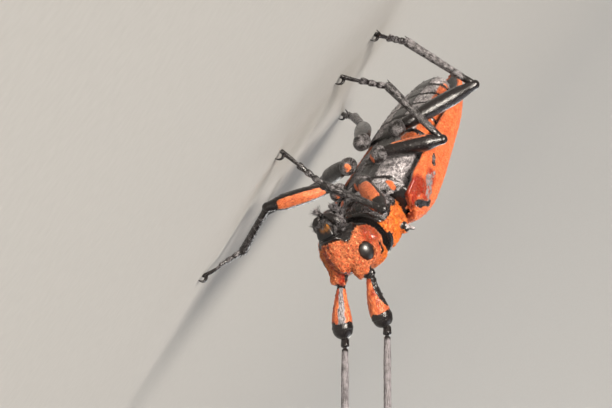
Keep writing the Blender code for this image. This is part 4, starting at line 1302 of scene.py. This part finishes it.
def flagellum(side, end):
    """The slim joints, each a little thicker at its end, on one smooth curve forwards and then outwards."""
    skin = Skin()
    point = np.array(end + SEAT_WAY[side].normalized() * (SCAPE_TIP_RADIUS - 0.12))
    forward = np.array(FEELER_FORWARD.normalized())
    outward = np.array(mirrored(FEELER_OUTWARD, side).normalized())
    gone = 0.0
    for k, joint in enumerate(FEELER_LENGTHS):
        length, steps = (joint, 34) if k else (joint + 0.12 + GAP / 2.0, 10)
        path = []
        for i in range(steps + 1):
            share = (gone + joint * i / steps) / FEELER_TOTAL
            turn = float(smooth((share * FEELER_TOTAL - 6.0) / (FEELER_TOTAL - 6.0)))
            heading = unit(mix(forward, outward, turn))
            path.append(point.copy())
            if i < steps:
                point = point + heading * length / steps
        gone += joint
        ts = np.linspace(0.0, 1.0, steps + 1)
        knob = 1.0 + 0.16 * bell(1.0 - ts, 0.06) if k else 1.0 + 0.1 * ts
        ends = np.sqrt(np.clip(np.minimum(ts, 1.0 - ts) * length / 0.09, 0.16, 1.0))
        radius = mix(FEELER_RADIUS, FEELER_TIP_RADIUS, gone / FEELER_TOTAL)
        radii = radius * (0.86 + 0.14 * smooth(ts * 3)) * knob * ends
        rows = puckered(tube(path, radii, 30), (0.01, 0.16, 4.0 + k))
        grey = 0.72 + 0.25 * rough(rows * (1.0, 0.35, 0.35), 0.4, 2.0 + k)
        grey = grey * smooth((ts[:, None] - 0.02) / 0.06)
        grey = grey if k else grey * 0.2
        skin.add(rows, span=((gone - joint) / FEELER_TOTAL, gone / FEELER_TOTAL),
                 grain=limb_grain(rows, radii), grey=grey, lie=heading, coat=grey)
    return skin


class BEETLE_OT_feelers(bpy.types.Operator):
    """Two feelers: the thick orange first joint with its black cap, and ten slim joints"""

    bl_idname = "beetle.feelers"
    bl_label = "Feelers"

    def execute(self, context):
        sizes = context.scene.beetle_sizes
        shells = (known_material("scape_cuticle", cuticle, pile=(0.4, 0.2), streak=(20.0, 4.0)),
                  known_material("feeler_cuticle", cuticle, pile=(0.28, 0.1), streak=(26.0, 1.2),
                                 contrast=1.6))
        for side, word in SIDES.items():
            end = mirrored(SCAPE_ROOT, side) + SCAPE_WAY[side].normalized() * SCAPE_LENGTH
            slim = ("pedicel", "third", "fourth", "middle", "outer", "tip")
            for form, name, coat, parts, slot, shell, share, seed, tuft in (
                (scape, "scape_" + word, "scape_" + word + "_pile", ("scape",), "scape_red", shells[0],
                 (1.0, 0.7), 50, {"width": 0.08, "rise": 0.16}),
                (flagellum, "feeler_" + word + "_flagellum", "feeler_" + word + "_pile", slim,
                 "shell_black", shells[1], (0.5, 0.6), 60, {"width": 0.06, "rise": 0.12, "disorder": 0.15}),
            ):
                made = form(side, end).build(name)
                fix_normals(made.data)
                grow_coat(made, coat, sizes.pile_density * share[0], sizes.pile_length * share[1],
                          seed + side, BODY, slot, **tuft)
                finish_piece(made, BODY, ["feeler_" + word + "_" + part for part in parts], shell)
        return {"FINISHED"}


# Pile and bristles

def tuft_shape(name, hairs, width, rise):
    """A tuft one unit long: slim three-sided hairs that rise from the root and lean along x."""
    points, faces, patch = [], [], []
    for k in range(hairs):
        shift = (k - (hairs - 1) / 2.0) * width * 1.6
        stagger = 0.12 * (k % 2)
        base = len(points)
        for x, z, half in ((0.0, -0.06, width * 0.5), (0.45, rise * 0.7, width * 0.42)):
            for y, high in ((-half, 0.0), (half, 0.0), (0.0, half * 1.3)):
                points.append((x + stagger, y + shift, z + high))
                patch.append((x, 0.5 + (y + shift) / (width * 6.0), 0.0))
        points.append((1.0 - stagger, shift * 1.3, rise))
        patch.append((1.0, 0.5, 0.0))
        for a, b in ((0, 1), (1, 2), (2, 0)):
            faces.append((base + a, base + b, base + b + 3, base + a + 3))
            faces.append((base + a + 3, base + b + 3, base + 6))
        faces.append((base + 2, base + 1, base))
    mesh = bpy.data.meshes.new(name)
    mesh.from_pydata(points, [], faces)
    set_mark(mesh, "patch", np.array(patch))
    fix_normals(mesh)
    return linked(name, mesh)


def tuft_tree(material):
    """Scatters tufts over a skin where its coat mark allows, combed along its lie mark."""
    tree = bpy.data.node_groups.new("tufts", "GeometryNodeTree")
    for name, kind, value in (
        ("Skin", "Geometry", None), ("Tufts per square millimetre", "Float", 60.0),
        ("Tuft length", "Float", 0.2),
        ("Length spread", "Float", 0.35), ("Disorder", "Float", 0.35), ("Seed", "Int", 1),
        ("Tuft", "Object", None),
    ):
        socket = tree.interface.new_socket(name, in_out="INPUT", socket_type="NodeSocket" + kind)
        if value is not None:
            socket.default_value = value
    tree.interface.new_socket("Coat", in_out="OUTPUT", socket_type="NodeSocketGeometry")
    node, number = partial(add_node, tree), partial(calc, tree)
    skin, density, length, spread, disorder, seed, tuft = node("NodeGroupInput").outputs[:7]
    coat = node("GeometryNodeInputNamedAttribute", {"Name": "coat"}, data_type="FLOAT").outputs[0]
    strewn = node("GeometryNodeDistributePointsOnFaces",
                  {"Mesh": skin, "Density": number("MULTIPLY", coat, density), "Seed": seed})
    lie = node("GeometryNodeInputNamedAttribute", {"Name": "lie"}, data_type="FLOAT_VECTOR").outputs[0]
    stray = node("FunctionNodeRandomValue", {0: (-1.0, -1.0, -1.0), 1: (1.0, 1.0, 1.0), "Seed": seed},
                 data_type="FLOAT_VECTOR").outputs[0]
    stray = node("ShaderNodeVectorMath", {0: stray, "Scale": disorder}, operation="SCALE").outputs[0]
    lean = node("ShaderNodeVectorMath", {0: lie, 1: stray}, operation="ADD").outputs[0]
    turned = node("FunctionNodeAxesToRotation", {0: strewn.outputs["Normal"], 1: lean},
                  primary_axis="Z", secondary_axis="X").outputs[0]
    vary = node("FunctionNodeRandomValue",
                {2: number("SUBTRACT", 1.0, spread), 3: number("ADD", 1.0, spread),
                                            "Seed": seed}, data_type="FLOAT").outputs[1]
    shape = node("GeometryNodeObjectInfo", {0: tuft}).outputs["Geometry"]
    placed = node("GeometryNodeInstanceOnPoints",
                  {"Points": strewn.outputs[0], "Instance": shape, "Rotation": turned,
                                                   "Scale": number("MULTIPLY", vary, length)})
    real = node("GeometryNodeRealizeInstances", {0: placed.outputs[0]})
    painted = node("GeometryNodeSetMaterial", {"Geometry": real.outputs[0], "Material": material})
    node("NodeGroupOutput", {0: painted.outputs[0]})
    return tree


def grow_coat(skin_object, name, density, length, seed, place, slot, material=None, hairs=3, width=0.12,
              rise=0.26, disorder=0.4):
    """Makes the tufts of one skin while that is in millimetres, and lays out their bake patches."""
    material = material or known_material("silky_pile", cuticle, pile=(0.55, 0.06), tips=True)
    tuft = tuft_shape("tuft", hairs, width, rise)
    made = linked(name, skin_object.data.copy())
    step, tree = made.modifiers.new("tufts", "NODES"), tuft_tree(material)
    step.node_group = tree
    values = {"Tufts per square millimetre": density, "Tuft length": length, "Length spread": 0.35,
              "Disorder": disorder, "Seed": seed, "Tuft": tuft}
    for item in tree.interface.items_tree:
        if item.name in values and item.in_out == "INPUT":
            step[item.identifier] = values[item.name]
    applied(made)
    bpy.data.objects.remove(tuft, do_unlink=True)
    bpy.data.node_groups.remove(tree)
    mesh = made.data
    if not mesh.polygons:
        raise RuntimeError(name + " grew no tufts")
    wrap, patch = (read(mesh.attributes[mark].data, "vector") for mark in ("wrap", "patch"))
    u = np.arctan2(wrap[:, 1], wrap[:, 0]) / (2.0 * math.pi) + 0.5
    spots = np.stack((u * 0.98 + 0.01, np.clip(wrap[:, 2], 0.0, 1.0) * 0.98 + 0.01), axis=-1)
    spots += (patch[:, :2] - 0.5) * PATCH_SIZE
    corners = np.empty(len(mesh.loops), np.int32)
    mesh.loops.foreach_get("vertex_index", corners)
    mesh.uv_layers.new(name="OFBake").data.foreach_set("uv", spots[corners].astype(np.float32).ravel())
    points, up = points_of(mesh), np.array(place.to_3x3())[2]
    below = np.minimum(up @ points.T + place[2][3], 0.0)
    set_points(mesh, points - np.outer(below, up))
    return finish_piece(made, place, [], material)


class BEETLE_OT_bristles(bpy.types.Operator):
    """Longer single hairs round the mouth, on the lower half of the shins, and under the feet"""

    bl_idname = "beetle.bristles"
    bl_label = "Bristles"

    def execute(self, context):
        mouth, feet = Skin(), Skin()
        mouth.add(ball((0.0, -5.75, -2.75), (0.62, 0.3, 0.62)), coat=0.9, grey=0.25,
                  lie=np.array((0.0, -0.2, -1.0)))
        for side in SIDES:
            for centre, half, coat, grey, lie in (
                ((0.85, -5.0, -2.7), (0.4, 0.4, 0.5), 0.8, 0.5, (0.5, -0.5, -1.0)),
                ((0.72, -4.3, -3.3), (0.2, 0.2, 0.5), 0.8, 0.9, (0.6, -0.4, -1.0)),
                ((0.55, -4.0, -2.75), (0.3, 0.4, 0.3), 1.0, 1.0, (0.5, -0.5, -1.0)),
            ):
                mouth.add(ball(mirrored(centre, side), half), coat=coat, grey=grey,
                          lie=np.array(lie) * (side, 1.0, 1.0))
        for leg in LEGS:
            _, _, _, knee, ankle, tip = leg_joints(leg)
            way = np.array((tip - ankle).normalized()) + np.array((0.0, 0.0, -0.7))
            for share in (0.14, 0.33, 0.52):
                feet.add(ball(ankle.lerp(tip, share) + Vector((0.0, 0.0, -0.02)), (0.24, 0.24, 0.2)),
                         coat=1.0, grey=0.8, lie=way)
            feet.add(limb(knee.lerp(ankle, 0.45), ankle, taper(0.24, 0.31), 20, 16)[0], coat=0.4, grey=0.85,
                     lie=np.array((ankle - knee).normalized()))
        for part in feet.points:
            part[:, 2] = np.maximum(part[:, 2], 0.25)
        for skin, name, density, length, seed, place, tuft in (
            (mouth, "mouth_hairs", 64.0, 0.6, 71, BODY, {"width": 0.045, "rise": 0.6, "disorder": 0.8}),
            (feet, "foot_hairs", 26.0, 0.3, 72, STANDING, {"width": 0.05, "rise": 0.42, "disorder": 0.5}),
        ):
            bed = skin.build(name + "_bed")
            grow_coat(bed, name, density, length, seed, place, "shell_black", hairs=2, **tuft)
            bpy.data.objects.remove(bed, do_unlink=True)
        return {"FINISHED"}


# Stage

def paper_sweep():
    """Pale paper that lies flat under the beetle and rises gently all round it."""
    turn = circle(96)
    rows = np.array([together(reach * np.cos(turn), reach * np.sin(turn),
                              0.42 * max(0.0, reach - 0.55) ** 2)
                     for reach in np.linspace(0.05, 2.6, 90)])
    n, m = rows.shape[:2]
    index = np.arange(n * m).reshape(n, m)
    nxt = np.roll(index, -1, axis=1)
    quads = np.stack((index[:-1], index[1:], nxt[1:], nxt[:-1]), axis=-1).reshape(-1, 4).tolist()
    mesh = bpy.data.meshes.new("paper_sweep")
    mesh.from_pydata(rows.reshape(-1, 3).tolist(), [], quads + [index[0].tolist()])
    mesh.polygons.foreach_set("use_smooth", [True] * len(mesh.polygons))
    mesh.materials.append(known_material("studio_paper", studio_paper))
    return linked("paper_sweep", mesh)


def photo_camera():
    """A camera with the photograph's viewing angle and framing, turned about its own axis."""
    azimuth, tilt, turn = VIEW_AZIMUTH, VIEW_ELEVATION, VIEW_TURN
    back = Vector((math.sin(azimuth) * math.cos(tilt), -math.cos(azimuth) * math.cos(tilt), math.sin(tilt)))
    level = Vector((math.cos(azimuth), math.sin(azimuth), 0.0))
    rise = back.cross(level)
    across = level * math.cos(turn) + rise * math.sin(turn)
    upward = rise * math.cos(turn) - level * math.sin(turn)
    aim = EYE_POINT + across * ((PHOTO_SIZE[0] / 2 - EYE_PIXEL[0]) * PIXEL)
    aim = aim + upward * ((EYE_PIXEL[1] - PHOTO_SIZE[1] / 2) * PIXEL)
    lens = bpy.data.cameras.new("camera")
    lens.sensor_width = SENSOR
    lens.lens = SENSOR * VIEW_DISTANCE / (PHOTO_SIZE[0] * PIXEL)
    lens.clip_start, lens.clip_end = 0.01, 10.0
    camera = linked("camera", lens)
    camera.matrix_world = (Matrix.Translation((aim + back * VIEW_DISTANCE) * MM)
                           @ Matrix((across, upward, back)).transposed().to_4x4())
    return camera


class BEETLE_OT_stage(bpy.types.Operator):
    """Pale paper sweep, soft studio lights and the camera"""

    bl_idname = "beetle.stage"
    bl_label = "Stage"

    def execute(self, context):
        light = context.scene.beetle_light
        paper_sweep()
        for name, way, size, power, colour in (
            ("key", (-0.94, -0.24, 0.34), 0.62, light.key, "FFF6EA"),
            ("top", (0.1, 0.1, 1.0), 1.3, light.top, "F6F8FF"),
            ("front", (-0.15, -1.0, 0.4), 1.0, light.fill, "FFFFFF"),
            ("rim", (0.95, 0.5, 0.6), 0.8, light.rim, "FFFFFF"),
        ):
            lamp = bpy.data.lights.new(name, "AREA")
            lamp.shape, lamp.size, lamp.energy, lamp.color = "DISK", size, power, linear(colour)[:3]
            made, way = linked(name, lamp), Vector(way).normalized()
            made.location = LIGHT_CENTRE + way * LIGHT_REACH
            made.rotation_mode = "QUATERNION"
            made.rotation_quaternion = way.to_track_quat("Z", "Y")
            made.visible_camera = False
        world = bpy.data.worlds.new("studio")
        world.use_nodes = True
        sky = world.node_tree.nodes["Background"].inputs
        sky["Color"].default_value, sky["Strength"].default_value = linear("E6E8EC"), light.air
        context.scene.world = world
        context.scene.view_settings.view_transform = "Standard"
        context.scene.camera = photo_camera()
        return {"FINISHED"}


def colour_property(name, words, code):
    return bpy.props.FloatVectorProperty(name=name, description=words, subtype="COLOR", size=4, min=0.0,
                                         max=1.0, default=linear(code))


def size_property(name, words, value, low, high):
    return bpy.props.FloatProperty(name=name, description=words + " in millimetres", default=value,
                                   min=low, max=high)


def power_property(name, words, watts):
    return bpy.props.FloatProperty(name=name, description="Power of the " + words, default=watts,
                                   unit="POWER")


class BeetleColours(bpy.types.PropertyGroup):
    """Colours of pile and shell"""

    red: colour_property("Red", "Main colour of the velvet pile", "D85F2B")
    red_deep: colour_property("Deep red", "Colour between the hairs of the pile", "7A1F0C")
    red_light: colour_property("Light red", "Colour of the hairs' tips", "F79A5E")
    face: colour_property("Face red", "Main colour of the head's velvet pile", "EC5A1E")
    face_light: colour_property("Light face red", "Colour of the head's hair tips", "FFB075")
    # On the left scape this grey is a painted highlight.
    grey: colour_property("Grey", "Silky pile of feelers and body", "ABA5A9")
    grey_deep: colour_property("Deep grey", "Shell seen between grey hairs", "1E1C1D")
    shell: colour_property("Shell", "Bare black shell", "0D0C0E")
    shell_warm: colour_property("Warm shell", "Brown tinge of the black shell", "1E1614")
    eye: colour_property("Eye", "Lens field of the eyes", "0B0A0C")
    eye_warm: colour_property("Warm eye", "Brown tinge of the eyes", "2A211E")
    # On the spines this silver is a painted highlight.
    silver: colour_property("Silver", "Silky hairs of the chest and the spines", "EDE6E9")
    shin_grey: colour_property("Shin grey", "Silky hairs of the legs", "A8A3A6")
    gold: colour_property("Gold", "Hairs that shine yellow, on the forebody and behind the eyes", "F57F0A")
    bare: colour_property("Bare red", "Glossy red shell where the pile is rubbed off", "AC3218")
    bare_deep: colour_property("Deep bare red", "Darker parts of the glossy red shell", "6E120A")
    amber: colour_property("Lip brown", "Clear brown plate of the lip", "A8681C")


class BeetleSizes(bpy.types.PropertyGroup):
    """Sizes of the fine detail, in millimetres"""

    cell: size_property("Skin cell", "Step of the fused skins", 0.05, 0.02, 0.2)
    groove: size_property("Face groove", "Depth of the face's middle groove", 0.2, 0.0, 0.4)
    pile_length: size_property("Pile length", "Length of a flat tuft", 0.17, 0.05, 0.6)
    pile_density: bpy.props.FloatProperty(name="Pile density", description="Tufts on a square millimetre",
                                          default=110.0, min=1.0, max=400.0)


class BeetleLight(bpy.types.PropertyGroup):
    """Power of the studio lights"""

    key: power_property("Key", "main light", 62.0)
    top: power_property("Top", "overhead softbox", 5.0)
    fill: power_property("Fill", "front fill", 1.0)
    rim: power_property("Rim", "light from behind", 8.0)
    air: bpy.props.FloatProperty(name="Air", description="Strength of the even light all round",
                                 default=0.13)


PIECES = (BEETLE_OT_head, BEETLE_OT_eyes, BEETLE_OT_mouth, BEETLE_OT_pronotum, BEETLE_OT_wing_cases,
          BEETLE_OT_hind_body, BEETLE_OT_legs, BEETLE_OT_feelers, BEETLE_OT_bristles, BEETLE_OT_stage)


class BEETLE_PT_panel(bpy.types.Panel):
    """Lists the beetle's sizes, colours and pieces"""

    bl_idname = "BEETLE_PT_panel"
    bl_label = "Longicorn beetle"
    bl_space_type = "VIEW_3D"
    bl_region_type = "UI"
    bl_category = "Beetle"

    def draw(self, context):
        for group in (context.scene.beetle_sizes, context.scene.beetle_colours, context.scene.beetle_light):
            for name in group.bl_rna.properties.keys():
                if name not in ("rna_type", "name"):
                    self.layout.prop(group, name)
        for piece in PIECES:
            self.layout.operator(piece.bl_idname)


GROUPS = {"beetle_colours": BeetleColours, "beetle_sizes": BeetleSizes, "beetle_light": BeetleLight}


def register():
    for one in (*GROUPS.values(), *PIECES, BEETLE_PT_panel):
        bpy.utils.register_class(one)
    for name, group in GROUPS.items():
        setattr(bpy.types.Scene, name, bpy.props.PointerProperty(type=group))


def unregister():
    for name in GROUPS:
        delattr(bpy.types.Scene, name)
    for one in reversed((*GROUPS.values(), *PIECES, BEETLE_PT_panel)):
        bpy.utils.unregister_class(one)


def main():
    register()
    for piece in PIECES:
        family, name = piece.bl_idname.split(".")
        getattr(getattr(bpy.ops, family), name)()


if __name__ == "__main__":
    main()
